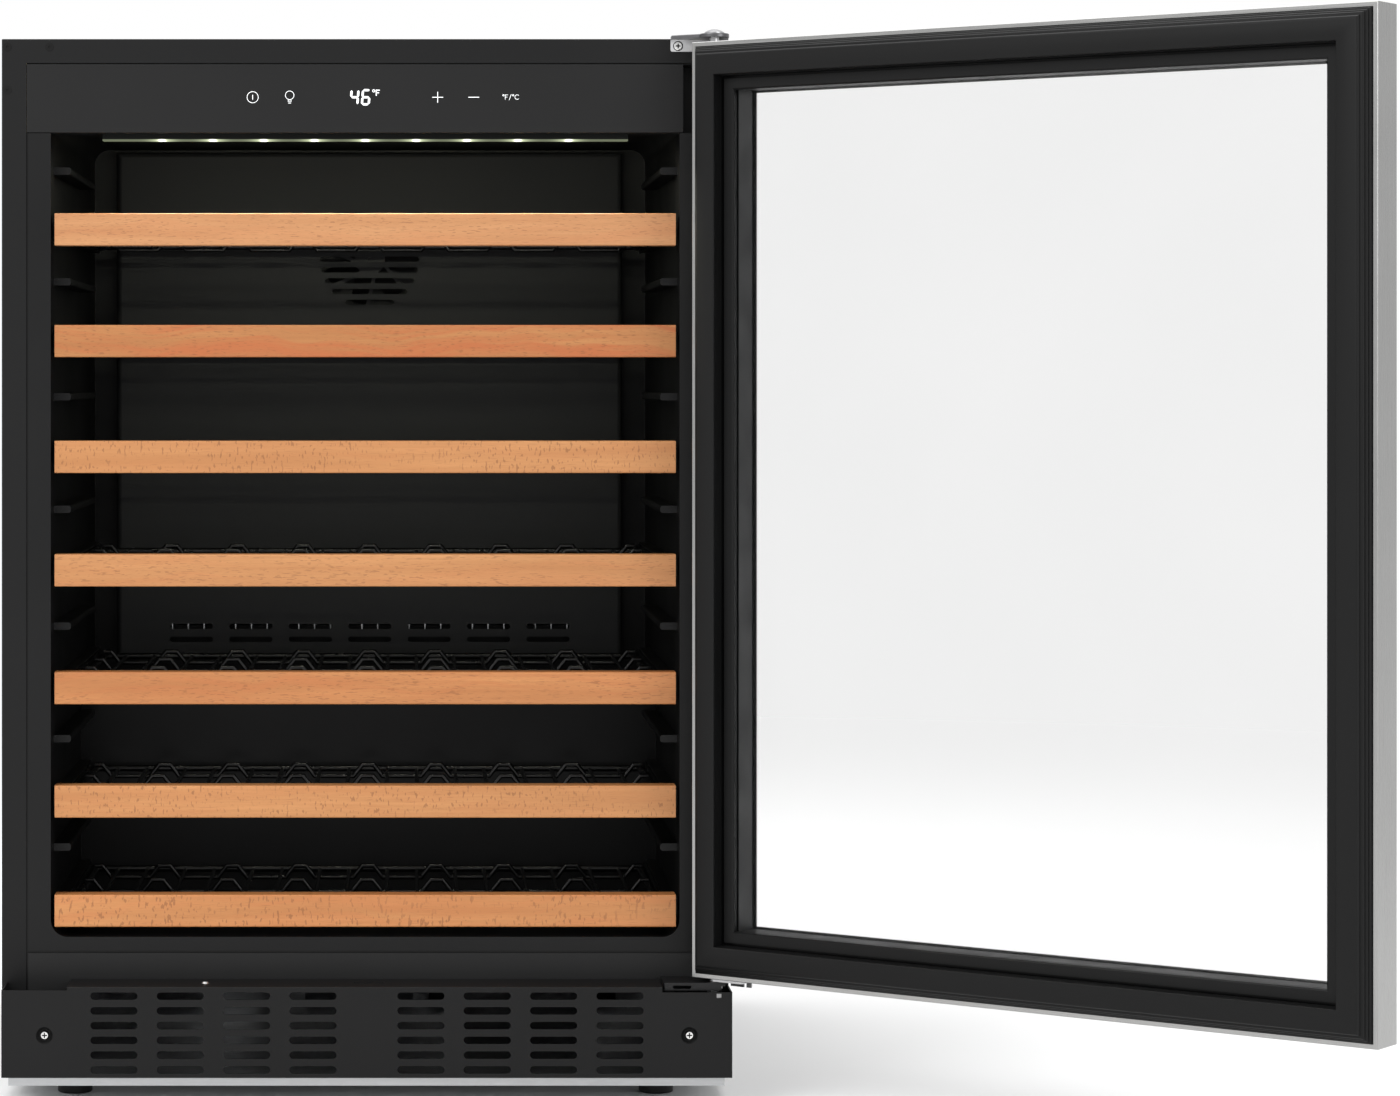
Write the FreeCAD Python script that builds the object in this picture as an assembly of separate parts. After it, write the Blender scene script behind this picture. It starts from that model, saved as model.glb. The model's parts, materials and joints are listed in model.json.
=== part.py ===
import FreeCAD, Part
import math
import os

# Undercounter wine cooler with a right-hinged glass door, seven sliding shelves and its cooling machine.
# Millimetres. The origin is on the floor, at the middle of the cabinet's width and depth.
# +X is to the right seen from the front, +Y is towards the back and +Z is up.
# The door is drawn closed and then swung open to its rest angle about its pins.

V = FreeCAD.Vector
X_AXIS, Y_AXIS, Z_AXIS = V(1, 0, 0), V(0, 1, 0), V(0, 0, 1)

# ---- driving dimensions: cabinet ----
WIDTH = 595.0
HEIGHT = 867.0
DEPTH = 540.0
HALF = WIDTH / 2
FRONT = -DEPTH / 2
BACK = DEPTH / 2
SHEET = 1.0
FRAME_BAND = 20.0
WRAPPER_LOW = 24.0
WINDOW_HALF = HALF - FRAME_BAND
WINDOW_TOP = HEIGHT - 19.6

# ---- liner: the moulded tank that holds the shelves ----
LINER_WALL = 2.0
CAVITY_HALF = 257.5
CAVITY_FLOOR = 131.8
CAVITY_CEILING = 803.0
CAVITY_BACK = BACK - 65
HUMP_FRONT = FRONT + 310
HUMP_TOP = 312.0
FLANGE_LOW = 119.7
SEAM = 0.9
FLANGE_THICK = 3.0
CORNER_RADIUS = 14.0
RIB_REACH = 14.0
RIB_HEIGHT = 6.0
RIB_ABOVE_SHELF = 39.0

# ---- control pod above the opening ----
POD_LOW = 790.0
POD_DEPTH = 34.0
POD_WALL = 1.4
FASCIA_RIGHT = 260.4
LED_COUNT = 9
LED_PITCH = 41.8
LED_HALF = 214.0

# ---- shelves ----
SHELF_TOPS = [724.5, 633.0, 538.0, 445.0, 348.5, 255.5, 166.0]
LONG_SHELVES = 5
SHELF_HALF = 254.5
SHELF_TALL = 26.4
SHELF_THICK = 20.0
SHELF_SETBACK = 2.0
LONG_RACK = 407.0
SHORT_RACK = 300.0
CRADLES = 8
CRADLE_PITCH = 60.0
CRADLE_RISE = 10.0
FRAME_WIRE = 3.0
CRADLE_WIRE = 2.0
BED_WIRE = 1.8
CHANNEL_DEEP = 10.0
CHANNEL_TALL = 14.0
CHANNEL_WALL = 1.5
RUNNER_GAP = 0.6

# ---- door ----
DOOR_HALF = 296.5
DOOR_LOW = 103.2
DOOR_HIGH = 861.8
DOOR_THICK = 34.0
DOOR_GAP = 12.5
DOOR_INNER = FRONT - DOOR_GAP
DOOR_OUTER = DOOR_INNER - DOOR_THICK
SKIN = 1.2
RETURN_WIDTH = 3.5
RING_WIDTH = 41.0
PANE = 4.0
PANE_INSET = 33.5
LIP_DEPTH = 4.8
LIP_INNER = 40.0
GROOVE_INNER = 31.0
GASKET_INNER = 28.0
GASKET_TALL = 12.0
DOOR_REST_ANGLE = 142.5
PIN_X = 283.9
PIN_Y = FRONT - 26.5
PIN_RADIUS = 4.0
PIN_DEEP = 22.0
ARM_LOW, ARM_HIGH = 866.0, 869.0
PIN_CLEARANCE = 0.05
BUSH_RADIUS = 6.5
HANDLE_X = -262.5
HANDLE_RADIUS = 9.5
HANDLE_STANDOFF = 38.0
HANDLE_LOW, HANDLE_HIGH = 200.0, 760.0

# ---- base, kick plate and feet ----
PAN_LOW = 17.5
PAN_SHEET = 1.5
KICK_FRONT = FRONT - 45
KICK_LEFT, KICK_RIGHT = -293.6, 297.1
KICK_MIDDLE = 1.9
KICK_LOW = 24.0
DIMPLE_DEEP = 2.4
RAIL_LEFT, RAIL_RIGHT = -288.0, 291.0
KICK_TOP = 97.5
KICK_SHEET = 1.2
SLOT_LONG, SLOT_TALL = 38.0, 6.0
SLOT_FIRST_X, SLOT_PITCH_X = 43.6, 53.6
SLOT_FIRST_Z, SLOT_PITCH_Z = 30.5, 11.92
FOOT_X = 240.0
FOOT_YS = {"front": FRONT + 32, "rear": BACK - 40}
FOOT_RADIUS = 14.25
FOOT_PAD = 12.0
STUD_RADIUS = 4.0

KICK_HEAD = 3.9
KICK_SHANK = 1.9
KICK_SCREW_PLACES = [V(KICK_MIDDLE + sx * 260.6, KICK_FRONT + DIMPLE_DEEP - 0.2, 58.2) for sx in (-1, 1)]
HINGE_HOLE_X = (284.4, 288.4)
FLANGE_SCREW_AT = V(-129.7, FRONT - 24, KICK_TOP)
HINGE_NOTCH_X = 240.5

# ---- machine compartment ----
DECK_LOW = 99.0
DECK_STEP = 76.0
DECK_TOP = 275.0
COMPRESSOR_AT = V(140, 165, 0)
COMPRESSOR_RADIUS = 66.0
MOUNT_OFFSETS = [V(sx * 74, sy * 48, 0) for sx in (-1, 1) for sy in (-1, 1)]
POWER_AT = V(-240, BACK, 70)
CONDENSER_FAN_AT = V(-92, 165, 118)
EVAPORATOR_FAN_AT = V(0, 186, 700)
COVER_FRONT = BACK - 105
COVER_LOW, COVER_HIGH, COVER_HALF = 330.0, 799.0, 234.0
COVER_WALL = 2.0

# ---- screws, plugs and the hinges' places ----
SHANK_SHARE = 0.45
PLUG_PLACES = [V(-292.7, FRONT, 860.5), V(-258.4, FRONT, 860.5), V(-292.7, FRONT, 825.3)]
TOP_SCREW_PLACES = [V(256.2, FRONT, 861.2), V(290.5, FRONT, 861.2)]
LOW_SCREW_PLACES = [V(282.5, FRONT, 90), V(282.5, FRONT, 74)]
PLUG_SHANK = 2.0
HINGE_HEAD = 4.1
HINGE_SHANK = HINGE_HEAD * SHANK_SHARE
BRACKET_SHEET = 1.5


def block(x0, x1, y0, y1, z0, z1):
    """A box between two corners."""
    return Part.makeBox(x1 - x0, y1 - y0, z1 - z0, V(x0, y0, z0))


def rod(at, axis, radius, length):
    """A cylinder that starts at a point and runs along an axis."""
    return Part.makeCylinder(radius, length, at, axis)


def fuse(shapes):
    """One clean solid from overlapping or touching solids."""
    return shapes[0].multiFuse(shapes[1:]).removeSplitter()


def group(shapes):
    """Separate solids kept in one node."""
    return Part.makeCompound(shapes)


def mirror_x(shape):
    """The same shape on the other side of the middle plane."""
    return shape.mirror(V(0, 0, 0), X_AXIS)


def both_sides(shape):
    return [shape, mirror_x(shape)]


def edges_along(shape, axis, test):
    """Straight edges that run along an axis and whose middle passes the test."""
    found = []
    for edge in shape.Edges:
        a, b = edge.Vertexes[0].Point, edge.Vertexes[-1].Point
        run = b.sub(a)
        if run.Length > 0 and abs(run.dot(axis)) > 0.999 * run.Length and test((a + b) * 0.5):
            found.append(edge)
    return found


def oblong(x, z, length, height, y0, y1):
    """A round-ended slot tool, long along X, cutting along Y."""
    r = height / 2
    reach = length / 2 - r
    top_left, top_right = V(x - reach, y0, z + r), V(x + reach, y0, z + r)
    low_left, low_right = V(x - reach, y0, z - r), V(x + reach, y0, z - r)
    edges = [
        Part.LineSegment(top_left, top_right).toShape(),
        Part.Arc(top_right, V(x + length / 2, y0, z), low_right).toShape(),
        Part.LineSegment(low_right, low_left).toShape(),
        Part.Arc(low_left, V(x - length / 2, y0, z), top_left).toShape(),
    ]
    return Part.Face(Part.Wire(edges)).extrude(V(0, y1 - y0, 0))


def bent_tube(points, bend, radius):
    """A round tube along straight runs joined by tangent arcs of one bend radius."""
    edges, start = [], points[0]
    for before, corner, after in zip(points, points[1:], points[2:]):
        back = (before - corner).normalize()
        ahead = (after - corner).normalize()
        turn = math.pi - back.getAngle(ahead)
        cut = bend * math.tan(turn / 2)
        first, last = corner + back * cut, corner + ahead * cut
        middle_way = (back + ahead).normalize()
        centre = corner + middle_way * (bend / math.cos(turn / 2))
        if (first - start).Length > 0.01:
            edges.append(Part.LineSegment(start, first).toShape())
        edges.append(Part.Arc(first, centre - middle_way * bend, last).toShape())
        start = last
    edges.append(Part.LineSegment(start, points[-1]).toShape())
    path = Part.Wire(edges)
    way = (points[1] - points[0]).normalize()
    section = Part.Wire([Part.Circle(points[0], way, radius).toShape()])
    return path.makePipeShell([section], True, True)


def mitred_ring(profile):
    """A rectangular door ring: each profile point is (inset from the door's edge, y), mitred at corners."""
    loops = []
    for inset, y in profile:
        x, low, high = DOOR_HALF - inset, DOOR_LOW + inset, DOOR_HIGH - inset
        loops.append([V(-x, y, low), V(x, y, low), V(x, y, high), V(-x, y, high)])
    faces = []
    for here, there in zip(loops, loops[1:] + loops[:1]):
        for k in range(4):
            m = (k + 1) % 4
            faces.append(Part.Face(Part.makePolygon([here[k], here[m], there[m], there[k], here[k]])))
    shell = Part.makeShell(faces)
    shell.sewShape()
    solid = Part.makeSolid(shell)
    if solid.Volume < 0:
        solid.reverse()
    return solid


def screw(at, axis, head_radius, head_tall, shank):
    """A cross-head screw: its head stands out from the point along the axis, its shank runs back."""
    head = Part.makeCone(head_radius, head_radius * 0.72, head_tall, at, axis)
    body = head.fuse(rod(at, axis * -1, head_radius * SHANK_SHARE, shank))
    long, narrow, deep = head_radius * 1.1, head_radius * 0.26, head_tall + 1.2
    cross = []
    for width, height in ((long, narrow), (narrow, long)):
        bar = Part.makeBox(width, height, deep, V(-width / 2, -height / 2, 0))
        base = at + axis * (head_tall - deep + 0.4)
        bar.Placement = FreeCAD.Placement(base, FreeCAD.Rotation(Z_AXIS, axis))
        cross.append(bar)
    pit = rod(at - axis * 0.8, axis, long / 2, head_tall + 2)
    return body.cut(cross[0].fuse(cross[1]).common(pit))


# ---------------------------------------------------------------- cabinet shell

def outer_wrapper():
    """Steel sheet folded over the top and sides, with a front frame band turned inwards."""
    shell = block(-HALF, HALF, FRONT, BACK, WRAPPER_LOW, HEIGHT)
    room = block(-HALF + SHEET, HALF - SHEET, FRONT + SHEET, BACK + 1, WRAPPER_LOW - 1, HEIGHT - SHEET)
    window = block(-WINDOW_HALF, WINDOW_HALF, FRONT - 1, FRONT + 2, WRAPPER_LOW - 1, WINDOW_TOP)
    holes = [rod(p - Y_AXIS, Y_AXIS, PLUG_SHANK, 4) for p in PLUG_PLACES]
    holes += [rod(p - Y_AXIS, Y_AXIS, HINGE_SHANK, 4) for p in TOP_SCREW_PLACES + LOW_SCREW_PLACES]
    body = shell.cut([room, window] + holes)
    corners = edges_along(body, Y_AXIS, lambda m: abs(m.x) > HALF - 0.1 and m.z > HEIGHT - 0.1)
    return body.makeFillet(0.6, corners)


def rear_panel():
    return block(-HALF + SHEET, HALF - SHEET, BACK - 1.1, BACK, 331, HEIGHT - SHEET)


def machine_cover():
    """Lower rear cover with rows of vent slots."""
    plate = block(-HALF + SHEET, HALF - SHEET, BACK - 1.1, BACK, 31, 330)
    slots = [
        oblong(x, z, 44, 5, BACK - 3, BACK + 2)
        for x in (-200, -145, -90, 90, 145, 200)
        for z in range(110, 260, 14)
    ]
    gland_hole = rod(POWER_AT - Y_AXIS * 5, Y_AXIS, 8, 10)
    return plate.cut(slots + [gland_hole])


def cavity_solid(grow):
    """The liner's inside, grown outwards by a wall thickness: a box with a step over the machine."""
    back, low, high = CAVITY_BACK + grow, CAVITY_FLOOR - grow, CAVITY_CEILING + grow
    side = [
        (FRONT, low), (HUMP_FRONT + grow, low), (HUMP_FRONT + grow, HUMP_TOP - grow),
        (back, HUMP_TOP - grow), (back, high), (FRONT, high),
    ]
    half = CAVITY_HALF + grow
    outline = Part.makePolygon([V(-half, y, z) for y, z in side + side[:1]])
    solid = Part.Face(outline).extrude(V(2 * half, 0, 0))
    edges = edges_along(solid, Y_AXIS, lambda m: m.z < low + 1 or m.z > high - 1)
    return solid.makeFillet(CORNER_RADIUS + grow, edges)


def rib_length(index):
    """Ribs stop short of the step over the machine."""
    return 270 if index < LONG_SHELVES else 262


def liner():
    """Moulded tank with a front flange, ribs along its side walls and a recess for the control pod."""
    tank = cavity_solid(LINER_WALL)
    flange = block(-WINDOW_HALF + SEAM, WINDOW_HALF - SEAM, FRONT, FRONT + FLANGE_THICK, FLANGE_LOW, POD_LOW)
    tongue = block(-WINDOW_HALF - 3, WINDOW_HALF + 3, FRONT + 1.1, FRONT + FLANGE_THICK, FLANGE_LOW, POD_LOW)
    pod = block(-HALF, HALF, FRONT - 1, FRONT + POD_DEPTH, POD_LOW, HEIGHT)
    top_plate = block(-WINDOW_HALF + 0.1, WINDOW_HALF - 0.1, FRONT + POD_DEPTH, FRONT + POD_DEPTH + 2,
                      CAVITY_CEILING - 15, WINDOW_TOP)
    pod_side = block(WINDOW_HALF - POD_WALL, WINDOW_HALF - 0.1, FRONT + 1.2, FRONT + POD_DEPTH + 1,
                     POD_LOW - 1, WINDOW_TOP)
    pod_roof = block(-WINDOW_HALF + 0.1, WINDOW_HALF - 0.1, FRONT + 3.4, FRONT + POD_DEPTH + 1,
                     WINDOW_TOP - POD_WALL, WINDOW_TOP)
    body = tank.fuse([flange, tongue]).cut(pod).fuse([top_plate, pod_side, pod_roof])
    pod_sides = block(-HALF, HALF, FRONT + POD_DEPTH, FRONT + POD_DEPTH + 2, CAVITY_CEILING - 20, POD_LOW)
    body = body.cut(cavity_solid(0)).cut(pod_sides.cut(cavity_solid(LINER_WALL)))
    ribs = []
    for index, top in enumerate(SHELF_TOPS):
        high = top + RIB_ABOVE_SHELF
        rib = block(CAVITY_HALF - RIB_REACH, CAVITY_HALF + 1, FRONT + 30, FRONT + 30 + rib_length(index),
                    high - RIB_HEIGHT, high)
        rib = rib.makeFillet(2, edges_along(rib, Y_AXIS, lambda m: m.x < CAVITY_HALF - RIB_REACH + 0.1))
        ribs += both_sides(rib)
    return fuse([body] + ribs)


def foam_insulation():
    """Foamed-in-place wall between the wrapper and the liner."""
    body = block(-HALF + 1.1, HALF - 1.1, FRONT + 3.1, BACK - 1.2, DECK_LOW + 1.1, HEIGHT - 1.1)
    rooms = [
        cavity_solid(LINER_WALL),
        block(-WINDOW_HALF, WINDOW_HALF, FRONT, FRONT + POD_DEPTH + 2.1, POD_LOW - 10, HEIGHT - 15),
        block(-HALF, HALF, DECK_STEP - 1, BACK + 1, DECK_LOW - 5, DECK_TOP + 1.1),
        block(-HALF, HALF, FRONT, FRONT + 27, DECK_LOW - 5, FLANGE_LOW),
    ]
    return body.cut(rooms)


def front_crossbar():
    """Folded black channel under the liner's flange."""
    half, low, high = WINDOW_HALF + 3, 86.0, FLANGE_LOW - 0.1
    face = block(-WINDOW_HALF + SEAM, WINDOW_HALF - SEAM, FRONT, FRONT + 1.5, low, high - SEAM)
    face = face.makeFillet(0.5, edges_along(face, X_AXIS, lambda m: m.y < FRONT + 0.1 and m.z > low + 1))
    back = block(-half, half, FRONT + 1.1, FRONT + 2.5, low, high)
    shelf = block(-half, half, FRONT + 1.1, FRONT + 25, high - 1.5, high)
    foot = block(-half, half, FRONT + 1.1, FRONT + 25, low, low + 1.5)
    return fuse([face, back, shelf, foot])


def machine_deck():
    """Stepped sheet that carries the foam over the machine compartment."""
    half = HALF - SHEET - 0.1
    floor = block(-half, half, FRONT + 27, DECK_STEP, DECK_LOW, DECK_LOW + 1)
    step = block(-half, half, DECK_STEP - 1, DECK_STEP, DECK_LOW, DECK_TOP + 1)
    top = block(-half, half, DECK_STEP - 1, BACK - 1.2, DECK_TOP, DECK_TOP + 1)
    return fuse([floor, step, top])


# ---------------------------------------------------------------- base, kick plate and feet

def base_pan():
    """Galvanised pan with a front rail, side upstands, kick plate tabs and weld nuts for the feet."""
    front = KICK_FRONT + KICK_SHEET + 0.3
    side, rear = HALF - SHEET - 0.1, BACK - 1.2
    pieces = [
        block(-side, side, FRONT + 1.1, rear, PAN_LOW, PAN_LOW + PAN_SHEET),
        block(RAIL_LEFT, RAIL_RIGHT, front, FRONT + 2, PAN_LOW, PAN_LOW + PAN_SHEET),
        block(RAIL_LEFT, RAIL_RIGHT, front, front + PAN_SHEET, PAN_LOW, KICK_LOW - 0.3),
        block(-side, side, rear - PAN_SHEET, rear, PAN_LOW, 30),
    ]
    pieces += both_sides(block(side - PAN_SHEET, side, FRONT + 1.1, rear, PAN_LOW, 40))
    tab = front + DIMPLE_DEEP
    pieces += [block(p.x - 11, p.x + 11, tab, tab + PAN_SHEET, PAN_LOW, 75) for p in KICK_SCREW_PLACES]
    nuts = [V(sign * FOOT_X, y, PAN_LOW) for sign in (-1, 1) for y in FOOT_YS.values()]
    pieces += [rod(p, Z_AXIS, 8, 9) for p in nuts]
    holes = [rod(p - Z_AXIS, Z_AXIS, STUD_RADIUS + 0.35, 12) for p in nuts]
    holes += [rod(p, Y_AXIS, KICK_SHANK + 0.1, 12) for p in KICK_SCREW_PLACES]
    return fuse(pieces).cut(holes)


def foot(x, y):
    """Levelling foot: a stepped plastic pad on a threaded stud."""
    pad = rod(V(x, y, 0), Z_AXIS, FOOT_RADIUS, FOOT_PAD)
    pad = pad.makeFillet(1.5, [e for e in pad.Edges if abs(e.Length - 2 * math.pi * FOOT_RADIUS) < 0.01])
    collar = rod(V(x, y, FOOT_PAD), Z_AXIS, 9, PAN_LOW - FOOT_PAD - 0.3)
    stud = rod(V(x, y, FOOT_PAD), Z_AXIS, STUD_RADIUS, 34)
    return fuse([pad, collar, stud])


def kick_plate():
    """Black front plate with eight columns of six rounded slots, folded back at the top, sides and foot."""
    rear = FRONT - 0.3
    left, right, low = KICK_LEFT, KICK_RIGHT, KICK_LOW
    front = block(left, right, KICK_FRONT, KICK_FRONT + KICK_SHEET, low, KICK_TOP)
    top = block(left, right, KICK_FRONT, rear, KICK_TOP - KICK_SHEET, KICK_TOP)
    foot_fold = block(-245, 245, KICK_FRONT, KICK_FRONT + 10, low, low + KICK_SHEET)
    sides = [block(x, x + KICK_SHEET, KICK_FRONT, rear, low, KICK_TOP) for x in (left, right - KICK_SHEET)]
    dimples = [Part.makeCone(7.9, 5.8, DIMPLE_DEEP + 1, V(p.x, KICK_FRONT, p.z), Y_AXIS)
               for p in KICK_SCREW_PLACES]
    body = fuse([front, top, foot_fold] + sides + dimples)
    sheet = edges_along(body, X_AXIS, lambda m: m.y < KICK_FRONT + 0.1 and abs(m.z - KICK_TOP) < 0.1)
    sheet += edges_along(body, Z_AXIS, lambda m: m.y < KICK_FRONT + 0.1 and abs(m.x) > 290)
    body = body.makeFillet(0.9, sheet)
    columns = [KICK_MIDDLE + sign * (SLOT_FIRST_X + SLOT_PITCH_X * i) for sign in (-1, 1) for i in range(4)]
    rows = [SLOT_FIRST_Z + SLOT_PITCH_Z * i for i in range(6)]
    tools = [
        oblong(x, z, SLOT_LONG, SLOT_TALL, KICK_FRONT - 1, KICK_FRONT + 3) for x in columns for z in rows
    ]
    tools.append(block(HINGE_NOTCH_X, HALF, KICK_FRONT - 1, FRONT, 93.0, HEIGHT))
    tools.append(block(*HINGE_HOLE_X, KICK_FRONT - 1, KICK_FRONT + 3, 88.4, 92.0))
    tools.append(block(-HALF, -HINGE_NOTCH_X, KICK_FRONT - 1, FRONT, KICK_TOP - 2.8, HEIGHT))
    tools.append(block(-9, 15, FRONT - 24, FRONT - 20, KICK_TOP - 5, KICK_TOP + 5))
    for place in KICK_SCREW_PLACES:
        tools.append(Part.makeCone(6.9, 4.8, DIMPLE_DEEP, V(place.x, KICK_FRONT, place.z), Y_AXIS))
        tools.append(rod(place, Y_AXIS, KICK_SHANK + 0.1, 5))
    tools.append(rod(FLANGE_SCREW_AT - Z_AXIS * 5, Z_AXIS, 1.5, 8))
    return body.cut(tools)


def kick_plate_screws():
    places = [p + Y_AXIS * 0.2 for p in KICK_SCREW_PLACES]
    screws = [screw(p, Y_AXIS * -1, KICK_HEAD, 1.8, 9) for p in places]
    screws.append(screw(FLANGE_SCREW_AT, Z_AXIS, 3.2, 1.2, 8))
    return group(screws)


# ---------------------------------------------------------------- control pod

def control_fascia():
    """Black touch panel with a fold back under the control board."""
    plate = block(-WINDOW_HALF + 0.4, FASCIA_RIGHT, FRONT, FRONT + 3, POD_LOW + 0.4, WINDOW_TOP - 0.8)
    plate = plate.makeFillet(0.8, edges_along(plate, X_AXIS, lambda m: m.y < FRONT + 0.1))
    fold = block(-WINDOW_HALF + 0.4, FASCIA_RIGHT, FRONT + 2.5, FRONT + POD_DEPTH - 0.4,
                 POD_LOW + 0.4, POD_LOW + 2.4)
    return fuse([plate, fold])


def control_board():
    """Circuit board behind the fascia with its display block and touch pads."""
    board = block(-112, 140, FRONT + 6, FRONT + 7.6, 804, 836)
    display = block(-18, 20, FRONT + 3.2, FRONT + 6, 811, 829)
    pads = [rod(V(x, FRONT + 3.2, 820), Y_AXIS, 6, 2.8) for x in (-92, -62, 59, 89, 119)]
    return fuse([board, display] + pads)


def led_board():
    """Light strip: a narrow board with nine light blocks on its underside."""
    board = block(-LED_HALF, LED_HALF, FRONT + 15, FRONT + 25, 788.4, 790.2)
    first = -LED_PITCH * (LED_COUNT - 1) / 2
    lights = [
        block(x - 2.5, x + 2.5, FRONT + 17.5, FRONT + 22.5, 786.9, 788.6)
        for x in (first + LED_PITCH * i for i in range(LED_COUNT))
    ]
    return fuse([board] + lights)


def led_cover():
    """Clear trough over the light strip, fixed under the fascia's fold."""
    trough = block(-LED_HALF - 2, LED_HALF + 2, FRONT + 13, FRONT + 27, 784.6, 790.3)
    room = block(-LED_HALF - 0.6, LED_HALF + 0.6, FRONT + 14.2, FRONT + 25.8, 785.8, 791)
    return trough.cut(room)


# ---------------------------------------------------------------- shelves

def rack_depth(index):
    return LONG_RACK if index < LONG_SHELVES else SHORT_RACK


def shelf_front(top):
    """Beech front rail with eased edges."""
    face = FRONT + SHELF_SETBACK
    rail = block(-SHELF_HALF, SHELF_HALF, face, face + SHELF_THICK, top - SHELF_TALL, top)
    return rail.makeFillet(1.2, edges_along(rail, X_AXIS, lambda m: m.y < face + 0.1))


def cradle_wire(y):
    """One cross wire, bent up between the bottles' beds."""
    low, high = -18.0, -18.0 + CRADLE_RISE
    bed, crest = 17.0, 5.0
    end = CRADLES * CRADLE_PITCH / 2
    points = [V(-end - 2, y, high)]
    for i in range(CRADLES):
        x = -end + CRADLE_PITCH * (i + 0.5)
        rise_left, rise_right = x - CRADLE_PITCH / 2 + crest, x + CRADLE_PITCH / 2 - crest
        points += [V(rise_left, y, high), V(x - bed, y, low), V(x + bed, y, low), V(rise_right, y, high)]
    points.append(V(end + 2, y, high))
    path = Part.makePolygon(points)
    section = Part.Wire([Part.Circle(points[0], X_AXIS, CRADLE_WIRE).toShape()])
    return path.makePipeShell([section], True, True, 1)


def rack(depth):
    """Wire rack with its top plane at the shelf's top: frame, cradle wires, bed wires and runners."""
    front, rear = FRONT + SHELF_SETBACK + SHELF_THICK + FRAME_WIRE, FRONT + depth
    frame_z, side_x = -14.0, 242.2
    bed_z = -18.0 + CRADLE_WIRE + BED_WIRE - 0.5
    pieces = []
    for x in (-side_x, side_x):
        start = V(x, front - FRAME_WIRE, frame_z)
        pieces.append(rod(start, Y_AXIS, FRAME_WIRE, rear - front + 2 * FRAME_WIRE))
    for y in (front, rear):
        pieces.append(rod(V(-side_x, y, frame_z), X_AXIS, FRAME_WIRE - 0.1, 2 * side_x))
    count = 4 if depth > SHORT_RACK else 3
    step = (rear - front - 70) / (count - 1)
    pieces += [cradle_wire(front + 40 + step * i) for i in range(count)]
    for i in range(CRADLES):
        middle = CRADLE_PITCH * (i + 0.5 - CRADLES / 2)
        for x in (middle - 13, middle + 13):
            pieces.append(rod(V(x, front, bed_z), Y_AXIS, BED_WIRE, rear - front))
    tall = CHANNEL_TALL - 2 * CHANNEL_WALL - 2 * RUNNER_GAP
    for x0, x1 in ((-253.5, -245), (245, 253.5)):
        pieces.append(block(x0, x1, front - FRAME_WIRE, rear, -13 - tall / 2, -13 + tall / 2))
    return fuse(pieces)


def shelf_channels():
    """Fourteen fixed channels screwed to the liner's side walls, one pair per shelf."""
    channels = []
    cavity = cavity_solid(0)
    for index, top in enumerate(SHELF_TOPS):
        middle = top - 13
        y0, y1 = FRONT + 28, FRONT + rack_depth(index)
        outer = block(CAVITY_HALF - CHANNEL_DEEP, CAVITY_HALF, y0, y1,
                      middle - CHANNEL_TALL / 2, middle + CHANNEL_TALL / 2)
        room = block(CAVITY_HALF - CHANNEL_DEEP - 1, CAVITY_HALF - CHANNEL_WALL, y0 - 1, y1 + 1,
                     middle - CHANNEL_TALL / 2 + CHANNEL_WALL, middle + CHANNEL_TALL / 2 - CHANNEL_WALL)
        channels += both_sides(outer.cut(room).common(cavity))
    return group(channels)


# ---------------------------------------------------------------- hinges

def top_hinge_bracket():
    """Bright angle: a flange on the front frame and an arm out over the door's top."""
    left, right, nose_radius = 250.0, 296.8, 12.0
    thick = ARM_HIGH - ARM_LOW
    flange = block(left, right, FRONT - BRACKET_SHEET, FRONT, 856.6, ARM_HIGH)
    flange = flange.makeFillet(1.5, edges_along(flange, Y_AXIS, lambda m: m.z < ARM_LOW))
    corners = [(left, FRONT), (right, FRONT), (PIN_X + nose_radius, PIN_Y), (PIN_X - nose_radius, PIN_Y),
               (left, FRONT - 12)]
    plan = [V(x, y, ARM_LOW) for x, y in corners]
    arm = Part.Face(Part.makePolygon(plan + plan[:1])).extrude(Z_AXIS * thick)
    nose = rod(V(PIN_X, PIN_Y, ARM_LOW), Z_AXIS, nose_radius, thick)
    body = fuse([flange, arm, nose])
    rims = [e for e in body.Edges if e.CenterOfMass.z > ARM_HIGH - 0.01 and e.CenterOfMass.y < FRONT - 2]
    holes = [rod(V(PIN_X, PIN_Y, ARM_LOW - 2), Z_AXIS, PIN_RADIUS, 10)]
    holes += [rod(p - Y_AXIS * 5, Y_AXIS, HINGE_SHANK, 8) for p in TOP_SCREW_PLACES]
    return body.makeFillet(0.8, rims).cut(holes)


def bottom_hinge_bracket():
    """Black bracket under the door: a plate with a turned-down lip and a flange behind the kick plate."""
    plate = block(242, 292, FRONT - 38, FRONT, 97, 99.8)
    lip = block(242, 289, FRONT - 38, FRONT - 36, 93.6, 99.8)
    flange = block(268, 292, FRONT - BRACKET_SHEET, FRONT, 64, 99.8)
    tools = [rod(V(PIN_X, PIN_Y, 80), Z_AXIS, PIN_RADIUS, 30)]
    tools += [rod(p - Y_AXIS * 5, Y_AXIS, HINGE_SHANK, 8) for p in LOW_SCREW_PLACES]
    tools.append(oblong(257, 96.4, 15, 3.2, FRONT - 40, FRONT - 35))
    body = fuse([plate, lip, flange])
    corners = edges_along(body, Z_AXIS, lambda m: m.y < FRONT - 37 and m.z > 96)
    return body.makeFillet(1.5, corners[:1]).cut(tools)


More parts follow.
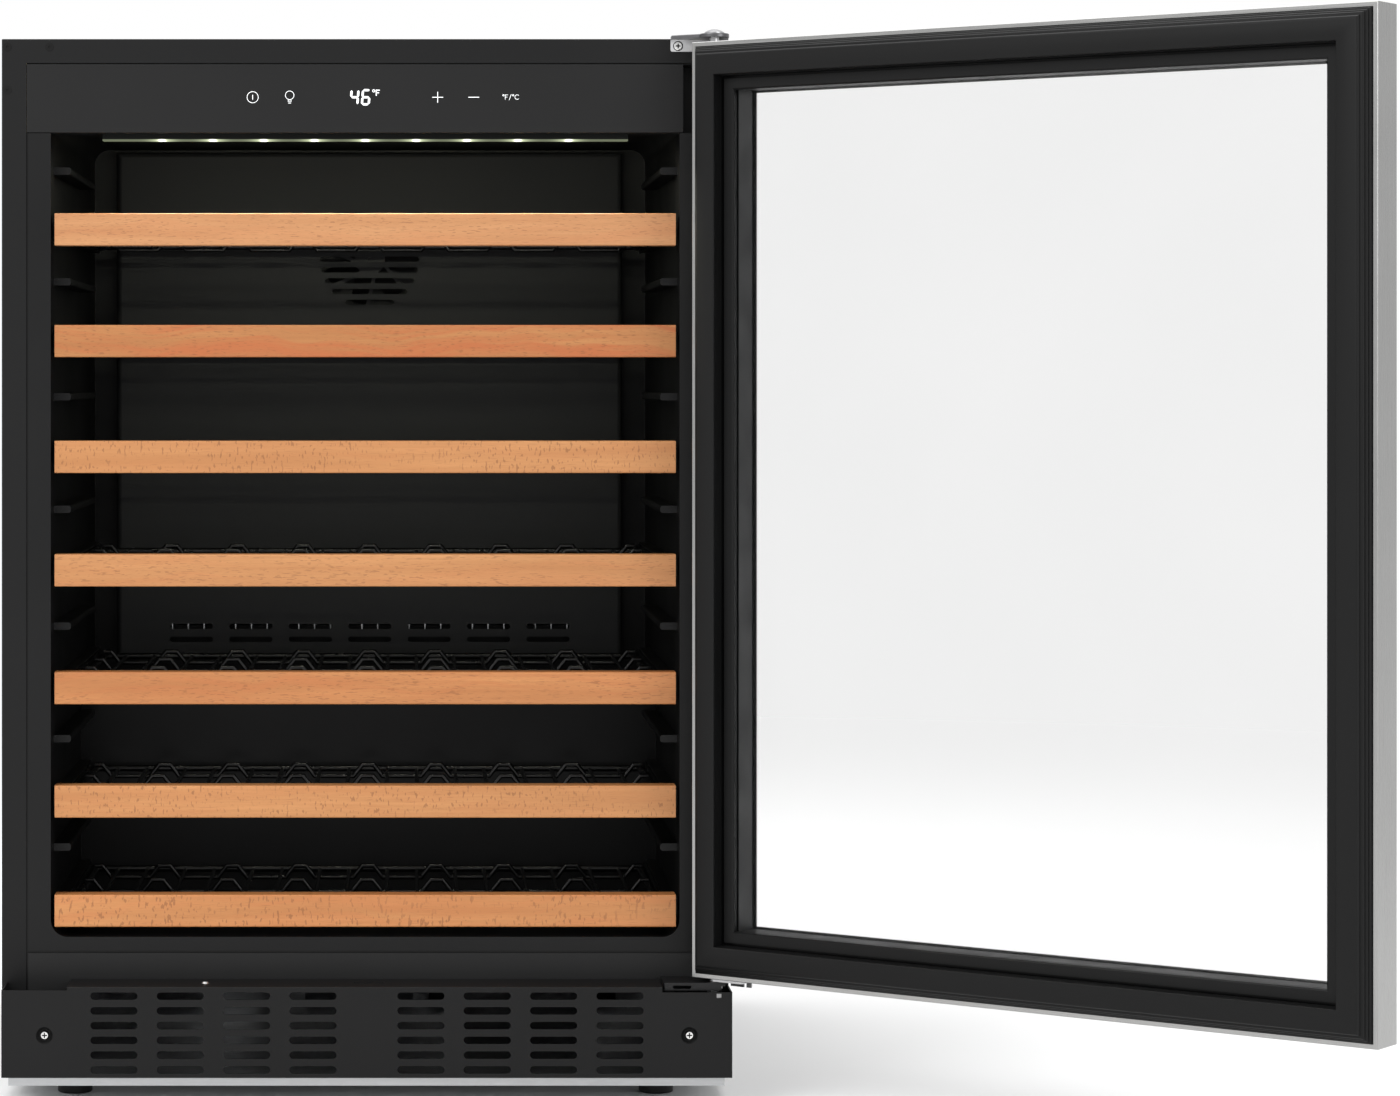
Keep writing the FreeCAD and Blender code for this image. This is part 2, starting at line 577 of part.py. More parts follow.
def hinge_pins():
    """Upper pin with a domed head over the arm, and lower pin through the bottom bracket."""
    head_radius, rim_tall, dome_radius = 8.0, 1.2, 14.0
    stem_low = DOOR_HIGH - PIN_DEEP
    stem = rod(V(PIN_X, PIN_Y, stem_low), Z_AXIS, PIN_RADIUS, ARM_HIGH + 0.5 - stem_low)
    rim = rod(V(PIN_X, PIN_Y, ARM_HIGH), Z_AXIS, head_radius, rim_tall)
    sink = math.sqrt(dome_radius ** 2 - head_radius ** 2)
    dome = Part.makeSphere(dome_radius, V(PIN_X, PIN_Y, ARM_HIGH + rim_tall - sink))
    cap = dome.common(rod(V(PIN_X, PIN_Y, ARM_HIGH + rim_tall - 0.1), Z_AXIS, head_radius, 10))
    upper = fuse([stem, rim, cap])
    foot_stem = rod(V(PIN_X, PIN_Y, 87.5), Z_AXIS, PIN_RADIUS, DOOR_LOW + PIN_DEEP + 0.3 - 87.5)
    collar = rod(V(PIN_X, PIN_Y, 93.5), Z_AXIS, 6.5, 3.5)
    return group([upper, fuse([foot_stem, collar])])


def hinge_screws():
    places = TOP_SCREW_PLACES + LOW_SCREW_PLACES
    return group([screw(p - Y_AXIS * BRACKET_SHEET, Y_AXIS * -1, HINGE_HEAD, 0.9, 4.4) for p in places])


def hinge_hole_plugs():
    """Three black plugs in the holes that a left-hand hinge would use."""
    plugs = []
    for place in PLUG_PLACES:
        head = rod(place - Y_AXIS * 0.25, Y_AXIS, 3.4, 0.25)
        stem = rod(place, Y_AXIS, PLUG_SHANK, 2)
        plugs.append(fuse([head, stem]).cut(rod(place - Y_AXIS * 0.3, Y_AXIS, 1.2, 1.2)))
    return group(plugs)


# ---------------------------------------------------------------- door, drawn closed

def bush_tools(radius, reach=0.0):
    """Cylinders at both ends of the door on the pin axis."""
    return [
        rod(V(PIN_X, PIN_Y, DOOR_LOW - reach), Z_AXIS, radius, 26 + reach),
        rod(V(PIN_X, PIN_Y, DOOR_HIGH - 26), Z_AXIS, radius, 26 + reach),
    ]


def door_skin():
    """Stainless tray: a wide front ring, four edges and a narrow return round the back, mitred."""
    outer, inner = DOOR_OUTER, DOOR_INNER
    profile = [
        (1.2, outer), (RING_WIDTH, outer), (RING_WIDTH, outer + SKIN), (SKIN, outer + SKIN),
        (SKIN, inner - SKIN), (RETURN_WIDTH, inner - SKIN), (RETURN_WIDTH, inner),
        (0.5, inner), (0, inner - 0.5), (0, outer + 1.2), (0.35, outer + 0.35),
    ]
    return mitred_ring(profile).cut(bush_tools(BUSH_RADIUS, 1.0))


def door_inner_frame():
    """Black plastic frame that seats the gasket and grips the sealed glass unit."""
    face = DOOR_INNER
    profile = [
        (RETURN_WIDTH + 0.1, face), (GASKET_INNER + 0.4, face), (GASKET_INNER + 0.8, face - 4.5),
        (GROOVE_INNER - 0.4, face - 4.5), (GROOVE_INNER, face), (LIP_INNER - 1.2, face),
        (LIP_INNER, face - 1.2), (LIP_INNER, face - LIP_DEPTH), (PANE_INSET, face - LIP_DEPTH),
        (PANE_INSET, DOOR_OUTER + SKIN), (SKIN, DOOR_OUTER + SKIN), (SKIN, face - SKIN),
        (RETURN_WIDTH + 0.1, face - SKIN),
    ]
    return mitred_ring(profile).cut(bush_tools(BUSH_RADIUS, 1.0))


def door_gasket():
    """Soft magnetic seal: a flat magnet band and a sloping outer flank."""
    profile = [
        (4.0, 0), (4.3, 3.5), (6.4, 6.9), (9.8, 9.4), (14.5, GASKET_TALL),
        (GASKET_INNER - 1.2, GASKET_TALL), (GASKET_INNER, 10.8), (GASKET_INNER, 0),
    ]
    return mitred_ring([(inset, DOOR_INNER + tall) for inset, tall in profile])


def pane(front):
    x, low, high = DOOR_HALF - PANE_INSET, DOOR_LOW + PANE_INSET, DOOR_HIGH - PANE_INSET
    return block(-x, x, front, front + PANE, low, high)


def glass_spacer():
    """Grey spacer bar that holds the two panes apart."""
    near, far = DOOR_OUTER + SKIN + PANE, DOOR_INNER - LIP_DEPTH - PANE
    outside, inside = PANE_INSET + 1.5, LIP_INNER - 0.5
    return mitred_ring([(outside, near), (inside, near), (inside, far), (outside, far)])


def handle_bar():
    at = V(HANDLE_X, DOOR_OUTER - HANDLE_STANDOFF, HANDLE_LOW)
    bar = rod(at, Z_AXIS, HANDLE_RADIUS, HANDLE_HIGH - HANDLE_LOW)
    return bar.makeFillet(2, [e for e in bar.Edges if e.Closed])


def handle_posts():
    """Two stand-off posts between the bar and the door, each with a foot collar."""
    posts = []
    for z in (HANDLE_LOW + 45, HANDLE_HIGH - 45):
        start = V(HANDLE_X, DOOR_OUTER, z)
        post = rod(start, Y_AXIS * -1, 6, HANDLE_STANDOFF)
        collar = rod(start, Y_AXIS * -1, 9, 3)
        bar = rod(V(HANDLE_X, DOOR_OUTER - HANDLE_STANDOFF, z - 20), Z_AXIS, HANDLE_RADIUS, 40)
        posts.append(fuse([post, collar]).cut(bar))
    return group(posts)


def door_stop_plate():
    """Bright plate under the door beside the lower pin, which meets the bracket at full opening."""
    plate = block(250, 277.5, PIN_Y - 13, PIN_Y + 12, DOOR_LOW - 2, DOOR_LOW)
    plate = plate.makeFillet(3, edges_along(plate, Z_AXIS, lambda m: m.x < 251))
    heads = [rod(V(x, PIN_Y, DOOR_LOW - 2.8), Z_AXIS, 3.5, 1) for x in (260, 272)]
    return fuse([plate] + heads)


def hinge_bushes():
    outer = bush_tools(BUSH_RADIUS)
    bores = [
        rod(V(PIN_X, PIN_Y, DOOR_LOW - 1), Z_AXIS, PIN_RADIUS + PIN_CLEARANCE, 24.5),
        rod(V(PIN_X, PIN_Y, DOOR_HIGH - 23.5), Z_AXIS, PIN_RADIUS + PIN_CLEARANCE, 25),
    ]
    return group([body.cut(bore) for body, bore in zip(outer, bores)])


def swung(shape):
    """The door at its rest angle."""
    opened = shape.copy()
    opened.rotate(V(PIN_X, PIN_Y, 0), Z_AXIS, DOOR_REST_ANGLE)
    return opened


# ---------------------------------------------------------------- cooling machine


def finned_coil(centre, half_run, rows, pitch, depth_rows, depth_pitch, fins, tube):
    """Serpentine tubes along X, one for each row in depth, through a pack of thin fins."""
    offsets = [(column - (depth_rows - 1) / 2) * depth_pitch for column in range(depth_rows)]
    heights = [(row - (rows - 1) / 2) * pitch for row in range(rows)]
    tubes = []
    for offset in offsets:
        points = []
        for row, z in enumerate(heights):
            ends = [V(-half_run, offset, z), V(half_run, offset, z)]
            points += ends if row % 2 == 0 else ends[::-1]
        tubes.append(bent_tube(points, pitch / 2 - 0.05, tube))
    span = 2 * (half_run - pitch / 2 - 4)
    wide = depth_rows * depth_pitch
    tall = rows * pitch
    plate = block(-0.4, 0.4, -wide / 2, wide / 2, -tall / 2, tall / 2)
    plate = plate.cut([rod(V(-2, y, z), X_AXIS, tube, 4) for y in offsets for z in heights])
    plates = []
    for i in range(fins):
        fin = plate.copy()
        fin.translate(V(-span / 2 + span * i / (fins - 1), 0, 0))
        plates.append(fin)
    coil = group(tubes + plates)
    coil.translate(centre)
    return coil


def evaporator_coil():
    return finned_coil(V(0, 186, 455), 200, 8, 26, 1, 24, 26, 4)


def condenser_coil():
    coil = finned_coil(V(0, 0, 0), 78, 7, 25, 3, 22, 18, 3.5)
    coil.rotate(V(0, 0, 0), Z_AXIS, 90)
    coil.translate(V(-185, 165, 118))
    return coil


def fan_blade(radius, hub, count, thick, bore):
    """A hub with pitched blades, its axis along +Z at the origin."""
    tools = []
    for i in range(count):
        blade = block(0, radius, -radius * 0.27, radius * 0.27, -0.8, 0.8)
        blade.rotate(V(0, 0, 0), X_AXIS, 28)
        blade.rotate(V(0, 0, 0), Z_AXIS, 360 * i / count)
        tools.append(blade)
    core = rod(V(0, 0, -thick / 2), Z_AXIS, hub, thick)
    sweep = rod(V(0, 0, -thick / 2), Z_AXIS, radius, thick)
    rotor = fuse([core] + [blade.common(sweep) for blade in tools])
    return rotor.cut(rod(V(0, 0, -thick), Z_AXIS, bore, 2 * thick))


def fan_frame(radius, hub, thick, shaft):
    """Square shroud with a round duct, three arms, a motor and its shaft, its axis along +Z."""
    side = radius + 7
    plate = block(-side, side, -side, side, -thick / 2, thick / 2)
    duct = rod(V(0, 0, -thick), Z_AXIS, radius + 2.5, 2 * thick)
    frame = plate.cut(duct)
    arms = []
    for i in range(3):
        arm = block(0, radius + 4, -3, 3, thick / 2 - 3, thick / 2)
        arm.rotate(V(0, 0, 0), Z_AXIS, 120 * i + 30)
        arms.append(arm)
    motor = rod(V(0, 0, thick / 2 - 3), Z_AXIS, hub, 16)
    pin = rod(V(0, 0, -thick / 2 + 4), Z_AXIS, shaft, thick)
    return fuse([frame] + arms + [motor, pin])


def placed(shape, at, axis):
    """A shape made along +Z, turned to an axis and moved to a point."""
    result = shape.copy()
    result.Placement = FreeCAD.Placement(at, FreeCAD.Rotation(Z_AXIS, axis)).multiply(result.Placement)
    return result


def evaporator_fan_motor():
    return placed(fan_frame(44, 15, 14, 2), EVAPORATOR_FAN_AT - Y_AXIS * 3, Y_AXIS)


def evaporator_fan_blade():
    return placed(fan_blade(42, 14, 7, 8, 2.05), EVAPORATOR_FAN_AT - Y_AXIS * 4.5, Y_AXIS)


def condenser_fan_motor():
    return placed(fan_frame(70, 22, 24, 3), CONDENSER_FAN_AT, X_AXIS)


def condenser_fan_blade():
    return placed(fan_blade(68, 20, 5, 14, 3.05), CONDENSER_FAN_AT - X_AXIS * 3, X_AXIS)


def evaporator_cover():
    """Grey panel over the evaporator: a shallow tray with a fan grille and return slots."""
    shell = block(-COVER_HALF, COVER_HALF, COVER_FRONT, CAVITY_BACK, COVER_LOW, COVER_HIGH)
    rims = [e for e in shell.Edges if abs(e.CenterOfMass.y - COVER_FRONT) < 0.01]
    shell = shell.makeFillet(5, rims)
    wall = COVER_WALL
    room = block(-COVER_HALF + wall, COVER_HALF - wall, COVER_FRONT + wall, CAVITY_BACK + 1,
                 COVER_LOW + wall, COVER_HIGH - wall)
    slots = []
    for i in range(-4, 5):
        drop = 10.0 * i
        chord = 2 * math.sqrt(46 ** 2 - drop ** 2)
        slots.append(oblong(0, EVAPORATOR_FAN_AT.z + drop, chord, 5, COVER_FRONT - 1, COVER_FRONT + 3))
    for x in (-165, -110, -55, 0, 55, 110, 165):
        for z in (348, 360):
            slots.append(oblong(x, z, 40, 5, COVER_FRONT - 1, COVER_FRONT + 3))
    return shell.cut([room] + slots)


def compressor():
    """Hermetic steel can with domed ends on a foot plate, with its terminal box and tube stubs."""
    r, low, high, knee = COMPRESSOR_RADIUS, 44.0, 200.0, 28.0
    can = rod(V(0, 0, low), Z_AXIS, r, high - low)
    can = can.makeFillet(knee, [e for e in can.Edges if e.Closed])
    seam = rod(V(0, 0, 118), Z_AXIS, r + 2, 5)
    neck = rod(V(0, 0, 34), Z_AXIS, r - 34, 14)
    box = block(-24, 24, -r - 16, -r + 8, 84, 128)
    stub = rod(V(-r + 6, 30, 140), V(-1, 0, 0), 4, 24)
    body = fuse([can, seam, foot_plate(), neck, box, stub])
    body.translate(COMPRESSOR_AT)
    return body


def foot_plate():
    plate = block(-88, 88, -62, 62, 33, 36)
    plate = plate.makeFillet(10, edges_along(plate, Z_AXIS, lambda m: True))
    return plate.cut([rod(p + Z_AXIS * 30, Z_AXIS, 6, 10) for p in MOUNT_OFFSETS])


def compressor_mounts():
    """Four waisted rubber grommets between the pan and the compressor's foot plate."""
    mounts = []
    for offset in MOUNT_OFFSETS:
        at = COMPRESSOR_AT + offset
        body = rod(at + Z_AXIS * (PAN_LOW + PAN_SHEET), Z_AXIS, 11, 33 - PAN_LOW - PAN_SHEET)
        neck = rod(at + Z_AXIS * 33, Z_AXIS, 5.9, 3)
        cap = rod(at + Z_AXIS * 36, Z_AXIS, 8.5, 5)
        mounts.append(fuse([body, neck, cap]).cut(rod(at + Z_AXIS * 10, Z_AXIS, 3, 40)))
    return group(mounts)


def drain_pan():
    """Open tray that collects and evaporates the defrost water."""
    tray = block(-58, 40, 96, 236, PAN_LOW + PAN_SHEET + 0.2, 34)
    return tray.cut(block(-56, 38, 98, 234, PAN_LOW + PAN_SHEET + 2.2, 35))


def refrigerant_lines():
    """Discharge line from the compressor to the condenser, and the filter drier with its line."""
    start = COMPRESSOR_AT + V(-COMPRESSOR_RADIUS - 18.2, 30, 140)
    route = [start, V(20, start.y, 140), V(20, start.y, 235), V(-185, start.y, 235), V(-185, start.y, 206.5)]
    discharge = bent_tube(route, 11, 3)
    drier = rod(V(0, 100, 150), Z_AXIS, 10, 80)
    tails = [rod(V(0, 100, 120), Z_AXIS, 2.5, 32), rod(V(0, 100, 228), Z_AXIS, 2.5, 26)]
    return group([discharge, fuse([drier] + tails)])


def power_inlet():
    """Round gland in the rear cover for the supply cord."""
    flange = rod(POWER_AT, Y_AXIS, 13, 3)
    nose = Part.makeCone(9, 7.5, 9, POWER_AT + Y_AXIS * 3, Y_AXIS)
    neck = rod(POWER_AT - Y_AXIS * 4, Y_AXIS, 7.9, 4)
    return fuse([flange, nose, neck]).cut(rod(POWER_AT - Y_AXIS * 5, Y_AXIS, 4, 30))


# ---------------------------------------------------------------- the whole cooler

def build():
    """Every node's shape by name."""
    nodes = {
        "outer_wrapper": outer_wrapper(),
        "rear_panel": rear_panel(),
        "machine_cover": machine_cover(),
        "liner": liner(),
        "foam_insulation": foam_insulation(),
        "front_crossbar": front_crossbar(),
        "machine_deck": machine_deck(),
        "base_pan": base_pan(),
        "kick_plate": kick_plate(),
        "kick_plate_screws": kick_plate_screws(),
        "control_fascia": control_fascia(),
        "control_board": control_board(),
        "led_board": led_board(),
        "led_cover": led_cover(),
        "shelf_channels": shelf_channels(),
        "top_hinge_bracket": top_hinge_bracket(),
        "bottom_hinge_bracket": bottom_hinge_bracket(),
        "hinge_pins": hinge_pins(),
        "hinge_screws": hinge_screws(),
        "hinge_hole_plugs": hinge_hole_plugs(),
        "evaporator_cover": evaporator_cover(),
        "evaporator_coil": evaporator_coil(),
        "evaporator_fan_motor": evaporator_fan_motor(),
        "evaporator_fan_blade": evaporator_fan_blade(),
        "compressor": compressor(),
        "compressor_mounts": compressor_mounts(),
        "condenser_coil": condenser_coil(),
        "condenser_fan_motor": condenser_fan_motor(),
        "condenser_fan_blade": condenser_fan_blade(),
        "drain_pan": drain_pan(),
        "refrigerant_lines": refrigerant_lines(),
        "power_inlet": power_inlet(),
        "door_skin": swung(door_skin()),
        "door_inner_frame": swung(door_inner_frame()),
        "door_gasket": swung(door_gasket()),
        "outer_glass": swung(pane(DOOR_OUTER + SKIN)),
        "inner_glass": swung(pane(DOOR_INNER - LIP_DEPTH - PANE)),
        "glass_spacer": swung(glass_spacer()),
        "handle_bar": swung(handle_bar()),
        "handle_posts": swung(handle_posts()),
        "door_stop_plate": swung(door_stop_plate()),
        "hinge_bushes": swung(hinge_bushes()),
    }
    racks = {depth: rack(depth) for depth in (LONG_RACK, SHORT_RACK)}
    for index, top in enumerate(SHELF_TOPS):
        wires = racks[rack_depth(index)].copy()
        wires.translate(V(0, 0, top))
        nodes[f"shelf_front_{index + 1}"] = shelf_front(top)
        nodes[f"shelf_rack_{index + 1}"] = wires
    for side, sign in (("left", -1), ("right", 1)):
        for end, y in FOOT_YS.items():
            nodes[f"foot_{end}_{side}"] = foot(sign * FOOT_X, y)
    return nodes


os.makedirs("parts", exist_ok=True)
for name, shape in build().items():
    state = "" if shape.isValid() else "  NOT VALID"
    print(f"{name}: {len(shape.Solids)} solids, {shape.Volume / 1000:.1f} cm3{state}")
    shape.exportStep(f"parts/{name}.step")
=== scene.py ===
# %% [markdown]
# # A wine cooler with its door open
# The cooler's frame, with every part's size and place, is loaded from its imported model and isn't changed.
# This file adds what the eye needs: a finish for each part, the soft door seal, two small hinge pieces, the
# lit touch marks, the screws of the back, and a small studio to see it all in. Each step says what the real
# thing is, how it could be made, and why it is made this way.

# %% Load the frame
import json
import math

import bpy
import mathutils
import numpy as np
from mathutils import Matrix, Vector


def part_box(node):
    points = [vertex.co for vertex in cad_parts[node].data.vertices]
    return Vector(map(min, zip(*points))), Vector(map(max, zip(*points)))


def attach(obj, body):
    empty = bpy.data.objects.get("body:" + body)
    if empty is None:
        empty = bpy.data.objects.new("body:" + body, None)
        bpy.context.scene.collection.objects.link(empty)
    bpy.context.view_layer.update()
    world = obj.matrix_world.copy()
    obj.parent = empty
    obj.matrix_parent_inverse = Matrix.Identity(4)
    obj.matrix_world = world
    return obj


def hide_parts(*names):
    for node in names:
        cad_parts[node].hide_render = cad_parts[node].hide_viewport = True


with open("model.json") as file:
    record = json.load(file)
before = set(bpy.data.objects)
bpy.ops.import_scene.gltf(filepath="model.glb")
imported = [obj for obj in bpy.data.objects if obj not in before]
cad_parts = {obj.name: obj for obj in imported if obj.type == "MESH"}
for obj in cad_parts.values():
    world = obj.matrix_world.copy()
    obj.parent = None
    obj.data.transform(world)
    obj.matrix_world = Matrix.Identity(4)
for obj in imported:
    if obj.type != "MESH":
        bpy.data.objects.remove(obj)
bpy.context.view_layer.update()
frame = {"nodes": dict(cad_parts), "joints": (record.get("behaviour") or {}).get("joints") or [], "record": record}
nodes = frame["nodes"]

# %% [markdown]
# ## Where things are
# The cabinet's front is the face of the control panel, and the door turns about its two pins. The door stands
# open, so its own pieces are worked out as if it were shut and then swung about the pins by the rest angle.
# The joint's lower limit is the shut door, which gives that angle.

# %% Places from the frame
MM = 0.001
hinge = next(joint for joint in frame["joints"] if joint["name"] == "door_hinge")
PIN = np.array(hinge["pos_m"])
SWING = -math.radians(hinge["range_deg"][0])
PANEL_LOW = np.array(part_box("control_fascia")[0])
FRONT = PANEL_LOW[1]
SIDE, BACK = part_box("outer_wrapper")[1][:2]


def swing(points, angle=SWING):
    """Points turned about the door's pins: the plan vector from the pin times the rotation by the angle."""
    x, y = points[..., 0] - PIN[0], points[..., 1] - PIN[1]
    c, s = math.cos(angle), math.sin(angle)
    return np.stack([PIN[0] + c * x - s * y, PIN[1] + s * x + c * y, points[..., 2]], axis=-1)


def shut_box(node):
    """Lowest and highest corner of a door part with the door shut, from its vertices swung back."""
    mesh = nodes[node].data
    points = np.empty(len(mesh.vertices) * 3, np.float32)
    mesh.vertices.foreach_get("co", points)
    points = swing(points.reshape(-1, 3).astype(float), -SWING)
    return points.min(axis=0), points.max(axis=0)


DOOR_LOW, DOOR_HIGH = shut_box("door_skin")
print("door", np.round((DOOR_HIGH - DOOR_LOW) / MM, 1), "mm, open", round(math.degrees(SWING), 1), "degrees")

# %% [markdown]
# ## Shader maths that reads like maths
# A pattern is a formula over the surface: a grain is noise stretched one way, a spot of light is a falling
# curve of the distance. Nodes can be placed and wired by hand, but a formula is easier to read. So an output
# socket is wrapped in a small class, and Python's operators on it add the Math nodes.

# %% Value and Finish
class Value:
    """One output of a shader node. An operator on it adds the Math node that works it out."""

    def __init__(self, finish, socket):
        self.finish, self.socket = finish, socket

    def maths(self, operation, *terms):
        return self.finish.node("Math", {"operation": operation}, dict(enumerate(terms)))

    def __add__(self, other):
        return self.maths("ADD", self, other)

    def __sub__(self, other):
        return self.maths("SUBTRACT", self, other)

    def __rsub__(self, other):
        return self.maths("SUBTRACT", other, self)

    def __mul__(self, other):
        return self.maths("MULTIPLY", self, other)

    def __truediv__(self, other):
        return self.maths("DIVIDE", self, other)

    def __pow__(self, other):
        return self.maths("POWER", self, other)

    def __abs__(self):
        return self.maths("ABSOLUTE", self)

    def __lt__(self, other):
        return self.maths("LESS_THAN", self, other)

    def __gt__(self, other):
        return self.maths("GREATER_THAN", self, other)


class Finish:
    """A material: its Principled shader's fixed sockets, and patterns that drive the ones that vary."""

    def __init__(self, name, **fixed):
        self.material = bpy.data.materials.new(name)
        self.material.use_nodes = True
        self.tree = self.material.node_tree
        self.shader = self.tree.nodes["Principled BSDF"]
        for key, value in fixed.items():
            self.shader.inputs[key.replace("_", " ")].default_value = value

    def node(self, kind, settings=None, inputs=None, output=0):
        """A node of that type: its settings first, then its sockets' values or links; one output."""
        made = self.tree.nodes.new("ShaderNode" + kind)
        for key, value in (settings or {}).items():
            if key == "stops":
                for stop, (place, colour) in zip(made.color_ramp.elements, value):
                    stop.position, stop.color = place, (*colour, 1)
            else:
                setattr(made, key, value)
        for key, value in (inputs or {}).items():
            if isinstance(value, Value):
                self.tree.links.new(value.socket, made.inputs[key])
            else:
                made.inputs[key].default_value = value
        return Value(self, made.outputs[output])

    def drive(self, socket, value):
        self.tree.links.new(value.socket, self.shader.inputs[socket])

    def place(self, scale=(1, 1, 1), shift=(0, 0, 0), turn=0.0):
        """The point on the object, turned about Z, then moved by the shift, then stretched each way."""
        point = self.node("TexCoord", output="Object")
        moved = self.node("Mapping", None, {"Vector": point, "Rotation": (0, 0, turn), "Location": shift})
        return self.node("VectorMath", {"operation": "MULTIPLY"}, {0: moved, 1: scale})

    def axes(self, vector):
        """The three numbers of a vector."""
        split = self.node("SeparateXYZ", None, {0: vector})
        return [Value(self, out) for out in split.socket.node.outputs]

    def noise(self, vector, scale, detail=2.0, rough=0.5):
        return self.node(
            "TexNoise", None, {"Vector": vector, "Scale": scale, "Detail": detail, "Roughness": rough}
        )

    def spread(self, value, low, high, to_low=0.0, to_high=1.0):
        """The value from low..high laid over to_low..to_high, and held at the ends."""
        inputs = {"Value": value, "From Min": low, "From Max": high, "To Min": to_low, "To Max": to_high}
        return self.node("MapRange", {"clamp": True}, inputs)

    def blend(self, factor, first, second):
        """A colour between two colours."""
        ends = [c if isinstance(c, Value) else (*c, 1) for c in (first, second)]
        return self.node("Mix", {"data_type": "RGBA"}, {0: factor, 6: ends[0], 7: ends[1]}, 2)

    def bump(self, height, depth, strength=1.0):
        """Small relief: the height in the pattern's own 0..1, the depth in metres."""
        inputs = {"Height": height, "Distance": depth, "Strength": strength}
        self.drive("Normal", self.node("Bump", None, inputs))


FINISHES = {}

# %% [markdown]
# ## Painted and moulded blacks
# Nearly all the cabinet is black, yet no two blacks are alike. Powder coat on steel has a faint orange peel,
# moulded plastic a fine grain and a softer shine. Wear and handling only change how dull they are, so a broad
# slow noise drives the roughness, and a fine noise makes the relief. Light hardly reaches into the seams and
# the screws' dimples, so those places get painted shade: they are blackened by their position. One function
# serves them all.

# %% Blacks and plain plastics
def coated(name, colour, rough=0.45, grain=900.0, depth=0.00003, mottle=0.12, gloss=0.33, shade=None):
    """Colour and roughness drift by the mottle, noise a hand wide. A shade is painted shade: it stays darker."""
    f = Finish(name, Specular_IOR_Level=gloss)
    drift = f.noise(f.place(), 9.0, detail=4.0)
    dark = tuple(c * (1 - mottle) for c in colour)
    light = tuple(c * (1 + mottle) for c in colour)
    tone = f.blend(f.spread(drift, 0.3, 0.7), dark, light)
    # Where the shade mask is 1, the colour goes to black: painted shade.
    f.drive("Base Color", f.blend(shade(f), tone, (0.0, 0.0, 0.0)) if shade else tone)
    f.drive("Roughness", f.spread(drift, 0.3, 0.7, rough - mottle * 0.3, rough + mottle * 0.3))
    f.bump(f.noise(f.place(), grain, detail=2.0), depth)
    return f.material


CROSSBAR_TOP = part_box("front_crossbar")[1][2]
LAP_NEAR, LAP_FAR = FRONT + 0.9 * MM, FRONT + 3.1 * MM
SIDE_SEAM, CROSS_SEAM = 1.3 * MM, 1.2 * MM


def seam_shade(f):
    """Painted shade: 1 on the laps just behind the face, and on the thin strips beside the seams."""
    x, y, z = f.axes(f.place())
    shallow = y < LAP_FAR
    laps = (y > LAP_NEAR) * shallow
    beside = (abs(x) > -PANEL_LOW[0] - SIDE_SEAM) + (abs(z - CROSSBAR_TOP) < CROSS_SEAM)
    return f.spread(laps + beside * shallow, 0.0, 1.0)


screws_low, screws_high = (np.array(corner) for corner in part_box("kick_plate_screws"))
KICK_HEAD, DIMPLE_REACH = 3.9 * MM, 6.9 * MM
SCREW_REACH = (screws_high[0] - screws_low[0]) / 2 - KICK_HEAD


def dimple_shade(f):
    """Painted shade: 0.8 within the reach of the two front screws, by the distance in the plate's plane."""
    x, _, z = f.axes(f.place())
    across = abs(x - (screws_low[0] + screws_high[0]) / 2) - SCREW_REACH
    up = z - (screws_low[2] + KICK_HEAD)
    return ((across * across + up * up) ** 0.5 < DIMPLE_REACH) * 0.8


POWDER_BLACK = (0.0055, 0.0056, 0.0058)
FINISHES["black_steel"] = coated("powder coated steel", POWDER_BLACK, 0.50, 700, 0.00003, 0.05, 0.22)
# Liner: darker than its plastic, as painted shade of the real cabinet's bottles; seams get painted shade.
FINISHES["liner_black"] = coated(
    "moulded liner", (0.0035, 0.0036, 0.0038), 0.42, 1300, 0.00004, gloss=0.25, shade=seam_shade
)
FINISHES["fascia_black"] = coated("touch panel", (0.0088, 0.0088, 0.009), 0.44, 2200, 0.00001, 0.05, 0.25)
FINISHES["black_wire"] = coated("epoxy coated wire", (0.004, 0.004, 0.0042), 0.26, 500, 0.00005, gloss=0.45)
FINISHES["channel_black"] = coated("runner channel", (0.004, 0.004, 0.0042), 0.38, 900, 0.00003)
# Evaporator cover: darker than its plastic, as painted shade of the real cabinet's bottles.
FINISHES["cover_grey"] = coated("evaporator cover", (0.020, 0.0205, 0.0215), 0.55, 1100, 0.00004, gloss=0.25)
FINISHES["fan_plastic"] = coated("fan plastic", (0.008, 0.008, 0.0085), 0.42, 1000, 0.00003)
FINISHES["compressor_black"] = coated(
    "compressor enamel", (0.006, 0.006, 0.0065), 0.22, 300, 0.00008, gloss=0.5
)
FINISHES["tray_plastic"] = coated("drain tray", (0.10, 0.105, 0.11), 0.5, 900, 0.00003, 0.05)
FINISHES["inlet_plastic"] = coated("cord gland", (0.009, 0.009, 0.009), 0.5, 1200, 0.00004)
FINISHES["door_plastic"] = coated(
    "door frame plastic", (0.0032, 0.0033, 0.0034), 0.45, 1500, 0.00003, gloss=0.20
)
FINISHES["hinge_black"] = coated("black hinge bracket", (0.006, 0.006, 0.0065), 0.34, 700, 0.00004)
FINISHES["plug_black"] = coated("hole plug", (0.0006, 0.0006, 0.0006), 0.25, 1500, 0.00002)
FINISHES["foot_plastic"] = coated("foot plastic", (0.008, 0.008, 0.008), 0.52, 900, 0.00006)
FINISHES["gasket_rubber"] = coated("door seal", (0.0038, 0.0039, 0.0040), 0.52, 1800, 0.00003, gloss=0.20)
FINISHES["mount_rubber"] = coated("mount rubber", (0.009, 0.009, 0.009), 0.7, 900, 0.00008)
